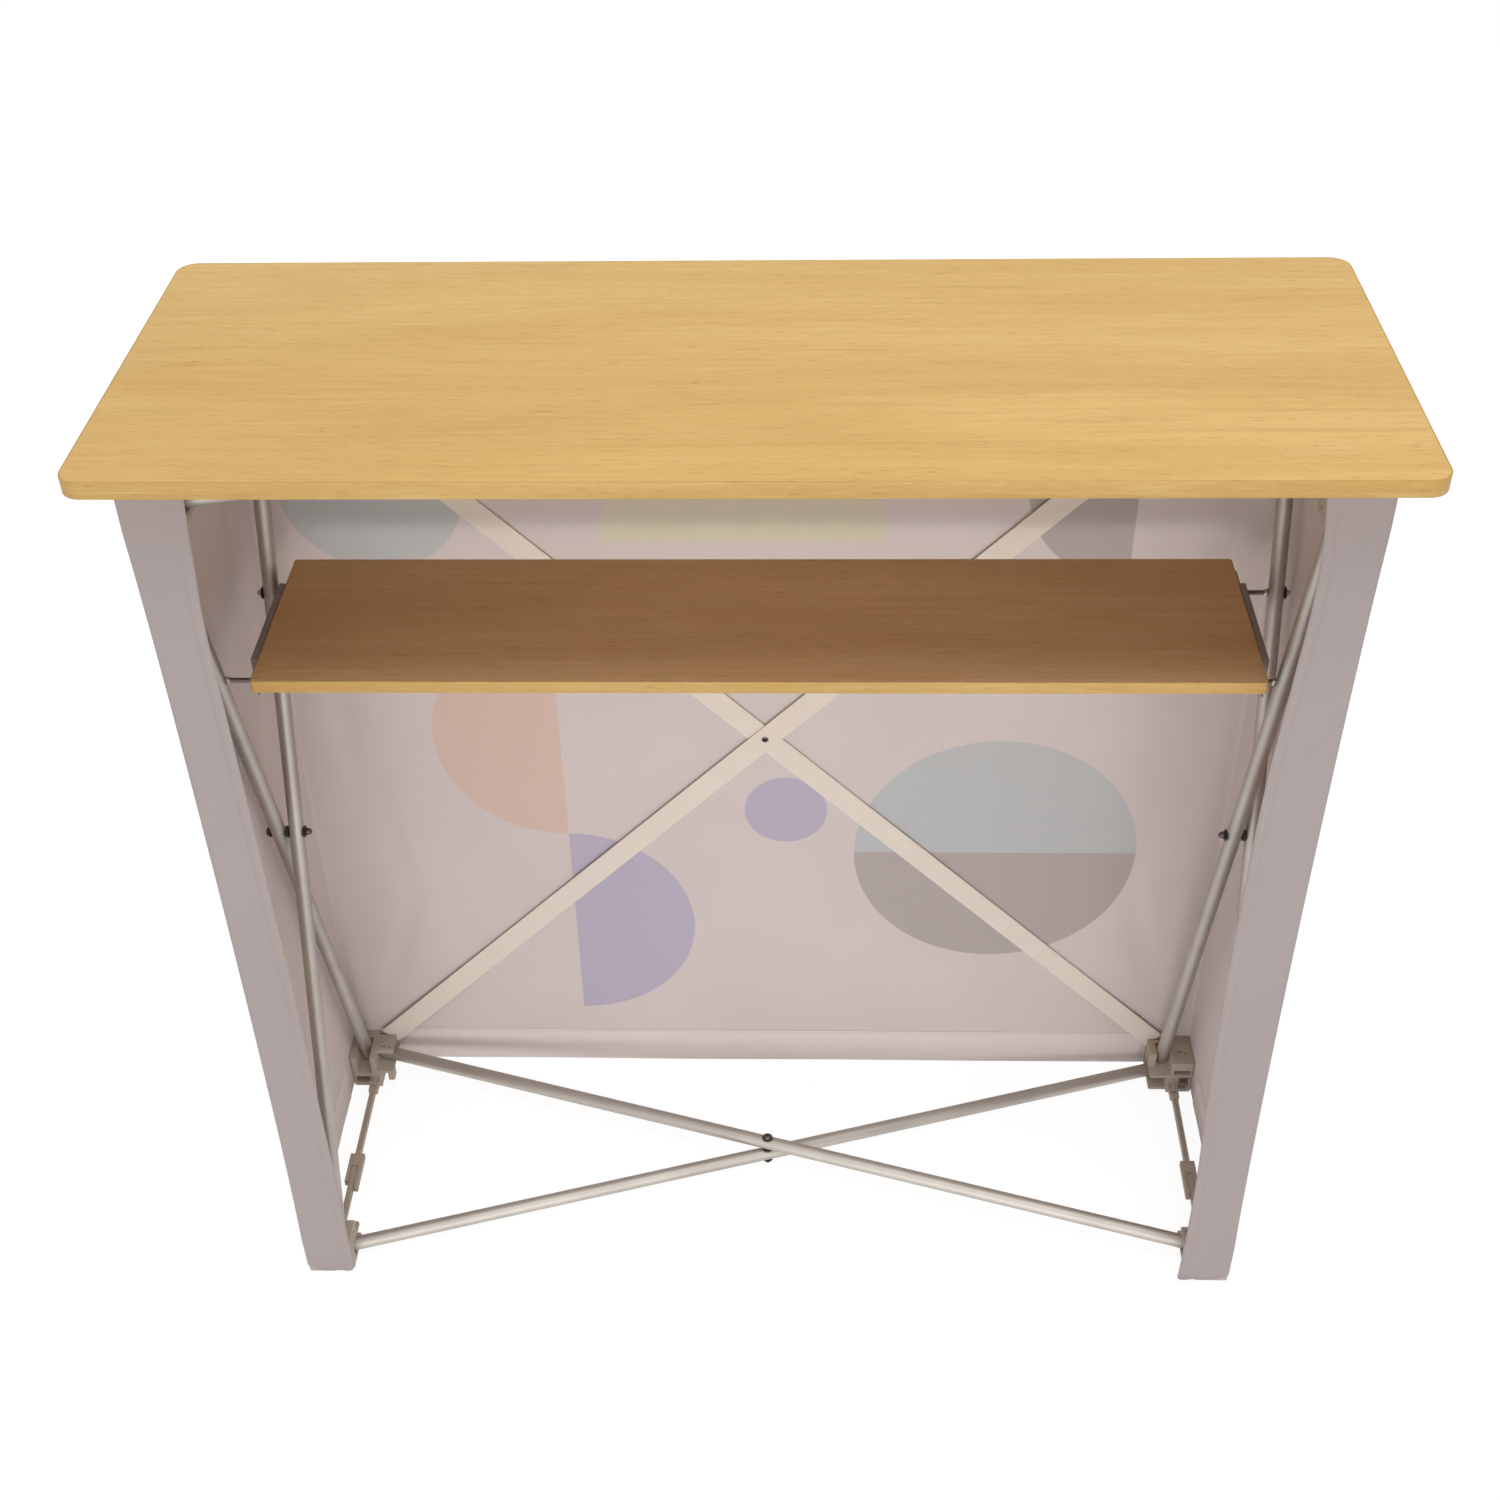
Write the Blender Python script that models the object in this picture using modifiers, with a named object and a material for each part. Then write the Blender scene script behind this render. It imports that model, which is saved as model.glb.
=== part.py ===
"""Pop-up exhibition counter, seen and used from its open rear side.

A folding frame of eight equal bars and eight moulded corner hubs stands on the floor. Two bars
cross at each end, two cross near the floor and two cross under the worktop. A loose worktop drops
onto the four top hubs, a loose shelf hangs on four pins, four lock arms hold the frame open, two
webbing bands cross behind the front, and a stretched cloth wraps the front, the ends and a strip
of the rear.

Frame: metres, +Z up, +X to the operator's right, +Y towards the customer. The origin is on the
floor below the middle of the counter.
"""
from math import cos, pi, radians, sin

import bmesh
import bpy
from mathutils import Matrix, Vector

# Worktop, which the frame below it is made to suit
WORKTOP_WIDTH = 1.050
WORKTOP_DEPTH = 0.387
WORKTOP_THICKNESS = 0.015
WORKTOP_CORNER_RADIUS = 0.018
WORKTOP_SIDE_REACH = 0.068  # pivot of the level bars to the end of the worktop
WORKTOP_EDGE_REACH = 0.0595     # pivot of the bars to the front or rear edge of the worktop
SOCKET_DEPTH = 0.009

# Bars of the frame
BAR_DIAMETER = 0.015
BAR_WALL = 0.0012
BAR_GAP = 0.003             # between two bars where they cross

# Moulded hubs
HUB_WIDTH = 0.050
HUB_HEIGHT = 0.056
HUB_FACE = 0.0215           # pivot to the face that the cloth lies on
HUB_BACK = 0.0235           # pivot to the face towards the inside of the frame
HUB_EDGE = 0.0015
SIDE_PIVOT_RISE = 0.042     # hub's outer end face to the pivot of the side bar
LEVEL_BAR_RISE = 0.027      # hub's outer end face to the middle between the level bars
LEVEL_PIVOT_INSET = 0.014   # middle of the hub to the pivot of the level bar
POCKET_SIZE = 0.010
POCKET_DEPTH = 0.008
SPIGOT_DIAMETER = 0.010
SPIGOT_HEIGHT = 0.008

# Bar ends and their pins
TONGUE_WIDTH = 0.013
TONGUE_THICKNESS = 0.008
TONGUE_LENGTH = 0.022
PLUG_DEPTH = 0.020
PIN_DIAMETER = 0.005
PIN_LENGTH = 0.029

# Bolts where the bars cross
BOLT_DIAMETER = 0.005
BOLT_HEAD_DIAMETER = 0.009
BOLT_HEAD_HEIGHT = 0.003
WASHER_DIAMETER = 0.011
WASHER_THICKNESS = 0.0015
NUT_DIAMETER = 0.008
NUT_HEIGHT = 0.0065

# Shelf, its end brackets and the pins that it hangs on
SHELF_DROP = 0.231          # top of the frame to its upper face
SHELF_END_GAP = 0.0175      # inner side bar to the end of the shelf
SHELF_DEPTH = 0.193
SHELF_REAR_SHIFT = 0.0155   # how far its middle stands behind the middle of the frame
SHELF_THICKNESS = 0.012
BRACKET_SHEET = 0.0015
BRACKET_HEIGHT = 0.027
BRACKET_FLANGE = 0.028
BRACKET_PROUD = 0.006       # how far it stands out past the end of the shelf
BRACKET_FLANGE_INSET = 0.014    # end of the bracket to the end of its flange
BRACKET_END_MARGIN = 0.010  # middle of a pin to the end of the bracket
BRACKET_LIP = 0.011         # how far it stands up beside the end of the shelf
BRACKET_LIP_INSET = 0.038   # front end of the bracket to the front end of its lip
SHELF_PIN_DROP = 0.018      # underside of the shelf to the middle of the pins
SHELF_PIN_DIAMETER = 0.0045
SHELF_PIN_TIP = 0.003       # how far a pin reaches past the bracket
SHELF_PIN_COLLAR_DIAMETER = 0.008
SHELF_PIN_COLLAR = 0.004
SHELF_NUT_HEIGHT = 0.0045

# Lock arms
ARM_DROP = 0.014            # hub's outer end face to the arm's hinge
ARM_HINGE_REACH = 0.009     # hub's back face to the arm's hinge
ARM_SIDE_SHIFT = 0.0025     # out of the middle of the hub, away from the side bar
ARM_WIDTH = 0.006
ARM_HEIGHT = 0.008
ARM_LUG_WIDTH = 0.005
ARM_LUG_RADIUS = 0.005
ARM_CHEEK_THICKNESS = 0.0022
ARM_CHEEK_RADIUS = 0.0055
ARM_TRUNNION_DIAMETER = 0.004
ARM_NECK_LENGTH = 0.006
FORK_WIDTH = 0.016
FORK_BASE_LENGTH = 0.008
FORK_INNER_PRONG = 0.0405
FORK_OUTER_PRONG = 0.032
FORK_TIP_GAP = 0.056        # inner prong's tip to the back face of the rear hub
FINGER_ENTRY = 0.030        # how far the rear hub's finger reaches into the fork

# Webbing bands
BAND_WIDTH = 0.025
BAND_THICKNESS = 0.001
BAND_PITCH = 0.0016         # between the middles of the two bands
BAND_SETBACK = 0.0052       # hub's face to the middle between the bands
BAND_END_RISE = 0.047       # hub's outer end face to the end of a band
BAND_END_INSET = 0.0175     # middle of the hub to the end of a band
BAND_SLOT_DEPTH = 0.020
BAND_SLOT_FLOOR = 0.012
EYELET_DIAMETER = 0.008
EYELET_BARREL_DIAMETER = 0.006
EYELET_BORE_DIAMETER = 0.003
EYELET_FLANGE = 0.0006

# Cloth
CLOTH_THICKNESS = 0.0012
CLOTH_RETURN = 0.048        # width of the strip that returns along the rear
CLOTH_FLOOR_GAP = 0.004
CLOTH_TOP_GAP = 0.003

# Clearances
FIT = 0.0003                # between faces that touch
PIN_FIT = 0.0003            # round a pin or a bolt, on the radius
SLOT_FIT = 0.0005           # each side of a bar's tongue in its hub
FORK_FIT = 0.0004           # each side of a finger in its fork
OVERRUN = 0.020             # how far a cutter reaches past what it cuts

# Smoothness of round pieces
TUBE_SIDES = 20
PIN_SIDES = 12
DOME_STEPS = 4
CORNER_STEPS = 8
SMOOTH_ANGLE = radians(35)
MERGE_DISTANCE = 0.00005

# Sizes and places that follow from those above. The bars are all of one length, so that they can
# fold together, and the pivots lie as far apart from left to right as from bottom to top.
FRAME_SPAN = WORKTOP_WIDTH - 2 * WORKTOP_SIDE_REACH
FRAME_DEPTH = WORKTOP_DEPTH - 2 * WORKTOP_EDGE_REACH
FRAME_TOP = FRAME_SPAN + 2 * SIDE_PIVOT_RISE
MID_HEIGHT = FRAME_TOP / 2
PIVOT_Y = FRAME_DEPTH / 2
HUB_X = FRAME_SPAN / 2 + LEVEL_PIVOT_INSET
BAR_RADIUS = BAR_DIAMETER / 2
BAR_PITCH = BAR_DIAMETER + BAR_GAP
TONGUE_RADIUS = TONGUE_WIDTH / 2
SLOT_WIDTH = TONGUE_THICKNESS + 2 * SLOT_FIT
FRONT_FACE = PIVOT_Y + HUB_FACE
BACK_FACE = PIVOT_Y - HUB_BACK
END_FACE = HUB_X + HUB_WIDTH / 2
SHELF_TOP = FRAME_TOP - SHELF_DROP
SHELF_WIDTH = 2 * (HUB_X - BAR_PITCH / 2 - BAR_RADIUS - SHELF_END_GAP)
SHELF_UNDERSIDE = SHELF_TOP - SHELF_THICKNESS
SHELF_PIN_Z = SHELF_UNDERSIDE - SHELF_PIN_DROP
BRACKET_FACE = SHELF_WIDTH / 2 + BRACKET_PROUD
ARM_HINGE_Y = BACK_FACE - ARM_HINGE_REACH
FORK_TIP_Y = FORK_TIP_GAP - BACK_FACE
FORK_INNER_WIDTH = ARM_WIDTH + 2 * FORK_FIT
CLOTH_FACE_Y = FRONT_FACE + FIT
CLOTH_FACE_X = END_FACE + FIT
CLOTH_TOP = FRAME_TOP - CLOTH_TOP_GAP

SIDES = {"left": -1, "right": 1}
ENDS = {"front": 1, "rear": -1}
LEVELS = {"base": -1, "top": 1}


# Collections, materials and small helpers

for old in list(bpy.data.objects):
    bpy.data.objects.remove(old)

parts = bpy.data.collections.new("exhibition_counter")
shapers = bpy.data.collections.new("cutters")
bpy.context.scene.collection.children.link(parts)
bpy.context.scene.collection.children.link(shapers)


def make_material(name, colour, roughness, metallic=0.0):
    """A Principled material with one linear colour."""
    material = bpy.data.materials.new(name)
    material.use_nodes = True
    shader = material.node_tree.nodes["Principled BSDF"]
    shader.inputs["Base Color"].default_value = (*colour, 1.0)
    shader.inputs["Roughness"].default_value = roughness
    shader.inputs["Metallic"].default_value = metallic
    material.diffuse_color = (*colour, 1.0)
    return material


ALUMINIUM = make_material("satin anodised aluminium", (0.52, 0.50, 0.48), 0.38, 1.0)
HUB_PLASTIC = make_material("grey glass-filled nylon", (0.24, 0.20, 0.17), 0.55)
STEEL = make_material("zinc-plated steel", (0.62, 0.62, 0.60), 0.30, 1.0)
BLACK_NYLON = make_material("black nylon", (0.02, 0.02, 0.02), 0.5)
BRACKET_STEEL = make_material("grey powder-coated steel", (0.16, 0.14, 0.15), 0.45)
BEECH = make_material("beech laminate board", (0.72, 0.48, 0.19), 0.42)
WEBBING = make_material("cream polyester webbing", (0.72, 0.63, 0.53), 0.9)
CLOTH = make_material("stretch polyester cloth", (0.60, 0.53, 0.53), 0.9)

ROOT = bpy.data.objects.new("counter", None)
parts.objects.link(ROOT)


def adopt(piece, name, material=None, origin=(0, 0, 0)):
    """Names a piece, gives it its material and puts its origin where it is asked."""
    piece.name = name
    piece.data.name = name
    for holder in list(piece.users_collection):
        holder.objects.unlink(piece)
    home = parts if material else shapers
    home.objects.link(piece)
    if material:
        piece.data.materials.clear()
        piece.data.materials.append(material)
        move_origin(piece, Vector(origin))
        piece.parent = ROOT
    else:
        piece.hide_render = True
        piece.display_type = "WIRE"
    return piece


def move_origin(piece, origin):
    """Moves an object's origin and leaves its mesh where it is in the world."""
    bpy.context.view_layer.update()
    shift = piece.matrix_world.inverted() @ origin
    piece.data.transform(Matrix.Translation(-shift))
    piece.location = origin


def add_box(x_range, y_range, z_range):
    """A box between the given limits, with its scale applied."""
    low = Vector(min(pair) for pair in (x_range, y_range, z_range))
    high = Vector(max(pair) for pair in (x_range, y_range, z_range))
    bpy.ops.mesh.primitive_cube_add(size=1, location=(low + high) / 2)
    box = bpy.context.object
    box.data.transform(Matrix.Diagonal((*(high - low), 1)))
    return box


def add_rod(start, end, radius, sides=PIN_SIDES):
    """A cylinder from one point to another."""
    start, end = Vector(start), Vector(end)
    run = end - start
    bpy.ops.mesh.primitive_cylinder_add(vertices=sides, radius=radius, depth=run.length)
    rod = bpy.context.object
    rod.rotation_mode = "QUATERNION"
    rod.rotation_quaternion = run.to_track_quat("Z", "Y")
    rod.location = (start + end) / 2
    shade_round(rod)
    return rod


def add_tongue(pivot, towards, pin_axis, length):
    """A flat plate with a round end: a cylinder with one half of its points drawn out."""
    along = (Vector(towards) - Vector(pivot)).normalized()
    across = Vector(pin_axis).cross(along)
    axes = Matrix((along, across, Vector(pin_axis))).transposed().to_4x4()
    bpy.ops.mesh.primitive_cylinder_add(
        vertices=TUBE_SIDES, radius=TONGUE_RADIUS, depth=TONGUE_THICKNESS)
    tongue = bpy.context.object
    tongue.data.transform(Matrix.Rotation(pi / TUBE_SIDES, 4, "Z"))
    for point in tongue.data.vertices:
        if point.co.x > 0:
            point.co.x += length
    tongue.matrix_world = Matrix.Translation(pivot) @ axes
    shade_round(tongue)
    return tongue


def add_turned(profile, start, direction, steps=PIN_SIDES):
    """A turned piece: (radius, height) points from the top of its axis down to the bottom."""
    mesh = bpy.data.meshes.new("profile")
    closed = profile[0][0] > 0
    edges = [(i, i + 1) for i in range(len(profile) - 1)]
    if closed:
        edges.append((len(profile) - 1, 0))
    mesh.from_pydata([(radius, 0, height) for radius, height in profile], edges, [])
    outline = bpy.data.objects.new("profile", mesh)
    bpy.context.scene.collection.objects.link(outline)
    screw = outline.modifiers.new("turn", "SCREW")
    screw.steps = steps
    screw.render_steps = steps
    screw.use_merge_vertices = True
    screw.merge_threshold = MERGE_DISTANCE
    solid = outline.evaluated_get(bpy.context.evaluated_depsgraph_get())
    piece = bpy.data.objects.new("turned", bpy.data.meshes.new_from_object(solid))
    bpy.data.objects.remove(outline)
    bpy.context.scene.collection.objects.link(piece)
    shade_round(piece)
    piece.rotation_mode = "QUATERNION"
    piece.rotation_quaternion = Vector(direction).to_track_quat("Z", "Y")
    piece.location = start
    return piece


def shade_round(piece):
    """Smooth shading with the sharp edges kept."""
    piece.data.shade_smooth()
    piece.data.set_sharp_from_angle(angle=SMOOTH_ANGLE)


def combine(target, other, operation, name):
    """A Boolean with another shape, which goes to the cutters' collection."""
    adopt(other, name)
    step = target.modifiers.new(name, "BOOLEAN")
    step.operation = operation
    step.solver = "EXACT"
    step.object = other


def cut(target, other, name="cut"):
    combine(target, other, "DIFFERENCE", name)


def fuse(target, other, name="boss"):
    combine(target, other, "UNION", name)


def soften(piece, width):
    """A one-step bevel along every edge of a plain box."""
    bevel = piece.modifiers.new("edge", "BEVEL")
    bevel.width = width
    bevel.segments = 1


def dome(radius, base, height):
    """Profile points of a round cap, from its tip down to its rim."""
    turns = [pi / 2 * step / DOME_STEPS for step in range(DOME_STEPS + 1)]
    return [(radius * sin(turn), base + height * cos(turn)) for turn in turns]


def lane(side, end, level):
    """+1 where a hub holds the outer side bar and the inner level bar, -1 where the other pair."""
    return side * end * level


def level_z(level, rise):
    """Height of a point that lies so far from the outer end face of a hub."""
    return rise if level < 0 else FRAME_TOP - rise


def side_pivot(side, end, level):
    """Pivot of a side bar in its hub."""
    x = side * (HUB_X + lane(side, end, level) * BAR_PITCH / 2)
    return Vector((x, end * PIVOT_Y, level_z(level, SIDE_PIVOT_RISE)))


def level_pivot(side, end, level):
    """Pivot of a level bar in its hub."""
    rise = LEVEL_BAR_RISE + lane(side, end, level) * BAR_PITCH / 2
    return Vector((side * FRAME_SPAN / 2, end * PIVOT_Y, level_z(level, rise)))


def arm_x(side, level):
    """Middle plane of a lock arm, which keeps clear of the side bar in its front hub."""
    return side * (HUB_X - lane(side, ENDS["front"], level) * ARM_SIDE_SHIFT)


def shelf_pin(side, end):
    """Middle of the hole that a shelf pin takes in its side bar."""
    start = side_pivot(side, end, LEVELS["top"])
    finish = side_pivot(side, -end, LEVELS["base"])
    share = (start.z - SHELF_PIN_Z) / (start.z - finish.z)
    return start.lerp(finish, share)


# Bars: aluminium tube with a plug and a flat tongue pressed into each end

def make_bar(name, start, finish, pin_axis, extra_hole=None):
    """One hollow bar between two hub pivots, bored at both pivots and at the crossing."""
    along = (finish - start).normalized()
    axis = Vector(pin_axis)
    bar = add_rod(start + along * TONGUE_LENGTH, finish - along * TONGUE_LENGTH,
                  BAR_RADIUS, TUBE_SIDES)
    plug = TONGUE_LENGTH + PLUG_DEPTH
    bore = add_rod(start + along * plug, finish - along * plug, BAR_RADIUS - BAR_WALL, TUBE_SIDES)
    cut(bar, bore, "bore")
    for pivot, other in ((start, finish), (finish, start)):
        fuse(bar, add_tongue(pivot, other, axis, TONGUE_LENGTH + BAR_WALL), "tongue")
    holes = [(start, PIN_DIAMETER), (finish, PIN_DIAMETER), ((start + finish) / 2, BOLT_DIAMETER)]
    if extra_hole:
        holes.append((extra_hole, SHELF_PIN_DIAMETER))
    for middle, diameter in holes:
        hole = add_rod(middle - axis * BAR_DIAMETER, middle + axis * BAR_DIAMETER,
                       diameter / 2 + PIN_FIT)
        cut(bar, hole, "pin hole")
    adopt(bar, name, ALUMINIUM, (start + finish) / 2)


for side_name, side in SIDES.items():
    for end in ENDS.values():
        top = side_pivot(side, end, LEVELS["top"])
        foot = side_pivot(side, -end, LEVELS["base"])
        place = "outer" if lane(side, end, LEVELS["top"]) > 0 else "inner"
        make_bar(f"side_bar_{side_name}_{place}", top, foot, (1, 0, 0), shelf_pin(side, end))

for level_name, level in LEVELS.items():
    for side in SIDES.values():
        start = level_pivot(side, ENDS["front"], level)
        finish = level_pivot(-side, ENDS["rear"], level)
        place = "upper" if start.z > level_z(level, LEVEL_BAR_RISE) else "lower"
        make_bar(f"{level_name}_bar_{place}", start, finish, (0, 0, 1))


# Hubs: one moulded block at each corner, with a slot for each bar that it holds

def make_hub(side, end, level, name):
    """A corner hub. Its own axes run outwards in x and y, and from its outer end face inwards."""
    turn = lane(side, end, level)

    def hub_box(across, deep, rise):
        x_range = [side * (HUB_X + u) for u in across]
        y_range = [end * (PIVOT_Y + v) for v in deep]
        z_range = [level_z(level, w) for w in rise]
        return add_box(x_range, y_range, z_range)

    def hub_point(u, v, w):
        return Vector((side * (HUB_X + u), end * (PIVOT_Y + v), level_z(level, w)))

    half = HUB_WIDTH / 2
    tongue_room = TONGUE_RADIUS + SLOT_FIT
    hub = hub_box((-half, half), (-HUB_BACK, HUB_FACE), (0, HUB_HEIGHT))
    soften(hub, HUB_EDGE)

    # slot and pin hole of the side bar
    side_lane = turn * BAR_PITCH / 2
    cut(hub, hub_box((side_lane - SLOT_WIDTH / 2, side_lane + SLOT_WIDTH / 2),
                     (-HUB_BACK - OVERRUN, tongue_room),
                     (SIDE_PIVOT_RISE - tongue_room, HUB_HEIGHT + OVERRUN)), "side slot")
    closed_end = side_lane - turn * (PIN_LENGTH / 2 + FIT)
    open_end = turn * (half + OVERRUN)
    cut(hub, add_rod(hub_point(closed_end, 0, SIDE_PIVOT_RISE),
                     hub_point(open_end, 0, SIDE_PIVOT_RISE), PIN_DIAMETER / 2 + PIN_FIT),
        "pin hole")

    # slot of the level bar, round the post that the bar turns on
    level_lane = LEVEL_BAR_RISE + turn * BAR_PITCH / 2
    slot = hub_box((-half - OVERRUN, -LEVEL_PIVOT_INSET + tongue_room),
                   (-HUB_BACK - OVERRUN, tongue_room),
                   (level_lane - SLOT_WIDTH / 2, level_lane + SLOT_WIDTH / 2))
    cut(slot, add_rod(hub_point(-LEVEL_PIVOT_INSET, 0, level_lane - SLOT_WIDTH),
                      hub_point(-LEVEL_PIVOT_INSET, 0, level_lane + SLOT_WIDTH),
                      PIN_DIAMETER / 2), "post")
    cut(hub, slot, "level slot")

    # moulded pocket in the back face
    pocket_far = half - POCKET_SIZE / 2
    cut(hub, hub_box((pocket_far - POCKET_SIZE, pocket_far),
                     (-HUB_BACK - OVERRUN, POCKET_DEPTH - HUB_BACK),
                     (POCKET_SIZE / 2, POCKET_SIZE * 3 / 2)), "pocket")

    if end > 0:
        # slot that takes the end of a webbing band
        band_room = BAND_PITCH / 2 + BAND_THICKNESS / 2 + SLOT_FIT
        cut(hub, hub_box((-half - OVERRUN, BAND_SLOT_DEPTH - half),
                         (HUB_FACE - BAND_SETBACK - band_room, HUB_FACE - BAND_SETBACK + band_room),
                         (BAND_SLOT_FLOOR, HUB_HEIGHT + OVERRUN)), "band slot")
        # lug that the lock arm is snapped onto
        arm_lane = -turn * ARM_SIDE_SHIFT
        lug_half = ARM_LUG_WIDTH / 2
        hinge_deep = -HUB_BACK - ARM_HINGE_REACH
        fuse(hub, hub_box((arm_lane - lug_half, arm_lane + lug_half),
                          (hinge_deep, HUB_EDGE * 2 - HUB_BACK),
                          (ARM_DROP - ARM_LUG_RADIUS, ARM_DROP + ARM_LUG_RADIUS)), "lug")
        fuse(hub, add_rod(hub_point(arm_lane - lug_half, hinge_deep, ARM_DROP),
                          hub_point(arm_lane + lug_half, hinge_deep, ARM_DROP),
                          ARM_LUG_RADIUS), "lug end")
        cut(hub, add_rod(hub_point(arm_lane - ARM_LUG_WIDTH, hinge_deep, ARM_DROP),
                         hub_point(arm_lane + ARM_LUG_WIDTH, hinge_deep, ARM_DROP),
                         ARM_TRUNNION_DIAMETER / 2 + PIN_FIT), "trunnion hole")
    else:
        # finger that the fork of the lock arm grips
        arm_lane = turn * ARM_SIDE_SHIFT
        finger_length = FORK_TIP_GAP + FINGER_ENTRY
        fuse(hub, hub_box((arm_lane - ARM_WIDTH / 2, arm_lane + ARM_WIDTH / 2),
                          (-HUB_BACK - finger_length, HUB_EDGE * 2 - HUB_BACK),
                          (ARM_DROP - ARM_HEIGHT / 2, ARM_DROP + ARM_HEIGHT / 2)), "finger")

    if level > 0:
        # spigot that locates the worktop
        fuse(hub, add_rod(hub_point(0, 0, HUB_EDGE), hub_point(0, 0, -SPIGOT_HEIGHT),
                          SPIGOT_DIAMETER / 2), "spigot")

    adopt(hub, name, HUB_PLASTIC, hub_point(0, 0, 0))

    # press-in pin of the side bar
    pin = add_rod(hub_point(side_lane - PIN_LENGTH / 2, 0, SIDE_PIVOT_RISE),
                  hub_point(side_lane + PIN_LENGTH / 2, 0, SIDE_PIVOT_RISE), PIN_DIAMETER / 2)
    adopt(pin, name.replace("hub", "hub_pin"), STEEL, hub_point(side_lane, 0, SIDE_PIVOT_RISE))


for level_name, level in LEVELS.items():
    for end_name, end in ENDS.items():
        for side_name, side in SIDES.items():
            make_hub(side, end, level, f"hub_{level_name}_{end_name}_{side_name}")


# Crossing bolts: button-head bolt, nylon spacer between the bars, and a domed nut

def make_crossing(name, middle, direction):
    """Bolt, spacer and nut through two crossed bars. The head lies on the side of direction."""
    axis = Vector(direction)
    stack = BAR_DIAMETER + BAR_GAP / 2 + FIT
    grip = 2 * stack
    head_base = WASHER_THICKNESS
    head_radius = BOLT_HEAD_DIAMETER / 2
    bore_depth = WASHER_THICKNESS + NUT_HEIGHT * 2 / 3
    bolt = add_turned(
        [(0, head_base + BOLT_HEAD_HEIGHT),
         (head_radius * 2 / 3, head_base + BOLT_HEAD_HEIGHT),
         (head_radius, head_base + BOLT_HEAD_HEIGHT / 3),
         (head_radius, head_base),
         (WASHER_DIAMETER / 2, head_base),
         (WASHER_DIAMETER / 2, 0),
         (BOLT_DIAMETER / 2, 0),
         (BOLT_DIAMETER / 2, -grip - bore_depth + FIT),
         (0, -grip - bore_depth + FIT)],
        middle + axis * stack, axis)
    adopt(bolt, f"{name}_bolt", STEEL, middle + axis * stack)

    spacer_top = BAR_GAP / 2 - FIT
    spacer = add_turned(
        [(WASHER_DIAMETER / 2, spacer_top),
         (WASHER_DIAMETER / 2, -spacer_top),
         (BOLT_DIAMETER / 2 + PIN_FIT, -spacer_top),
         (BOLT_DIAMETER / 2 + PIN_FIT, spacer_top)],
        middle, axis)
    adopt(spacer, f"{name}_spacer", BLACK_NYLON, middle)

    nut_radius = NUT_DIAMETER / 2
    shoulder = WASHER_THICKNESS + NUT_HEIGHT - nut_radius
    nut = add_turned(
        dome(nut_radius, shoulder, nut_radius)
        + [(nut_radius, WASHER_THICKNESS),
           (WASHER_DIAMETER / 2, WASHER_THICKNESS),
           (WASHER_DIAMETER / 2, 0),
           (BOLT_DIAMETER / 2 + PIN_FIT, 0),
           (BOLT_DIAMETER / 2 + PIN_FIT, bore_depth),
           (0, bore_depth)],
        middle - axis * stack, -axis)
    adopt(nut, f"{name}_nut", STEEL, middle - axis * stack)


for side_name, side in SIDES.items():
    make_crossing(f"side_cross_{side_name}", Vector((side * HUB_X, 0, MID_HEIGHT)), (side, 0, 0))
make_crossing("base_cross", Vector((0, 0, LEVEL_BAR_RISE)), (0, 0, 1))
make_crossing("top_cross", Vector((0, 0, FRAME_TOP - LEVEL_BAR_RISE)), (0, 0, -1))


# Worktop: laminated board with rounded corners and a blind socket over each spigot

worktop_underside = FRAME_TOP + FIT
worktop_top = worktop_underside + WORKTOP_THICKNESS
worktop = add_box((-WORKTOP_WIDTH / 2, WORKTOP_WIDTH / 2),
                  (-WORKTOP_DEPTH / 2, WORKTOP_DEPTH / 2),
                  (worktop_underside, worktop_top))
shape = bmesh.new()
shape.from_mesh(worktop.data)
uprights = [edge for edge in shape.edges
            if abs(edge.verts[0].co.z - edge.verts[1].co.z) > WORKTOP_THICKNESS / 2]
bmesh.ops.bevel(shape, geom=uprights, offset=WORKTOP_CORNER_RADIUS, segments=CORNER_STEPS,
                profile=0.5, affect="EDGES")
shape.to_mesh(worktop.data)
shape.free()
for side in SIDES.values():
    for end in ENDS.values():
        foot = Vector((side * HUB_X, end * PIVOT_Y, worktop_underside))
        socket = add_rod(foot - Vector((0, 0, OVERRUN)), foot + Vector((0, 0, SOCKET_DEPTH)),
                         SPIGOT_DIAMETER / 2 + PIN_FIT)
        cut(worktop, socket, "socket")
adopt(worktop, "worktop", BEECH, (0, 0, worktop_underside))


# Shelf: laminated board, with a folded steel bracket screwed under each end

shelf = add_box((-SHELF_WIDTH / 2, SHELF_WIDTH / 2),
                (-SHELF_REAR_SHIFT - SHELF_DEPTH / 2, -SHELF_REAR_SHIFT + SHELF_DEPTH / 2),
                (SHELF_UNDERSIDE, SHELF_TOP))
adopt(shelf, "shelf_board", BEECH, (0, 0, SHELF_UNDERSIDE))

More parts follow.
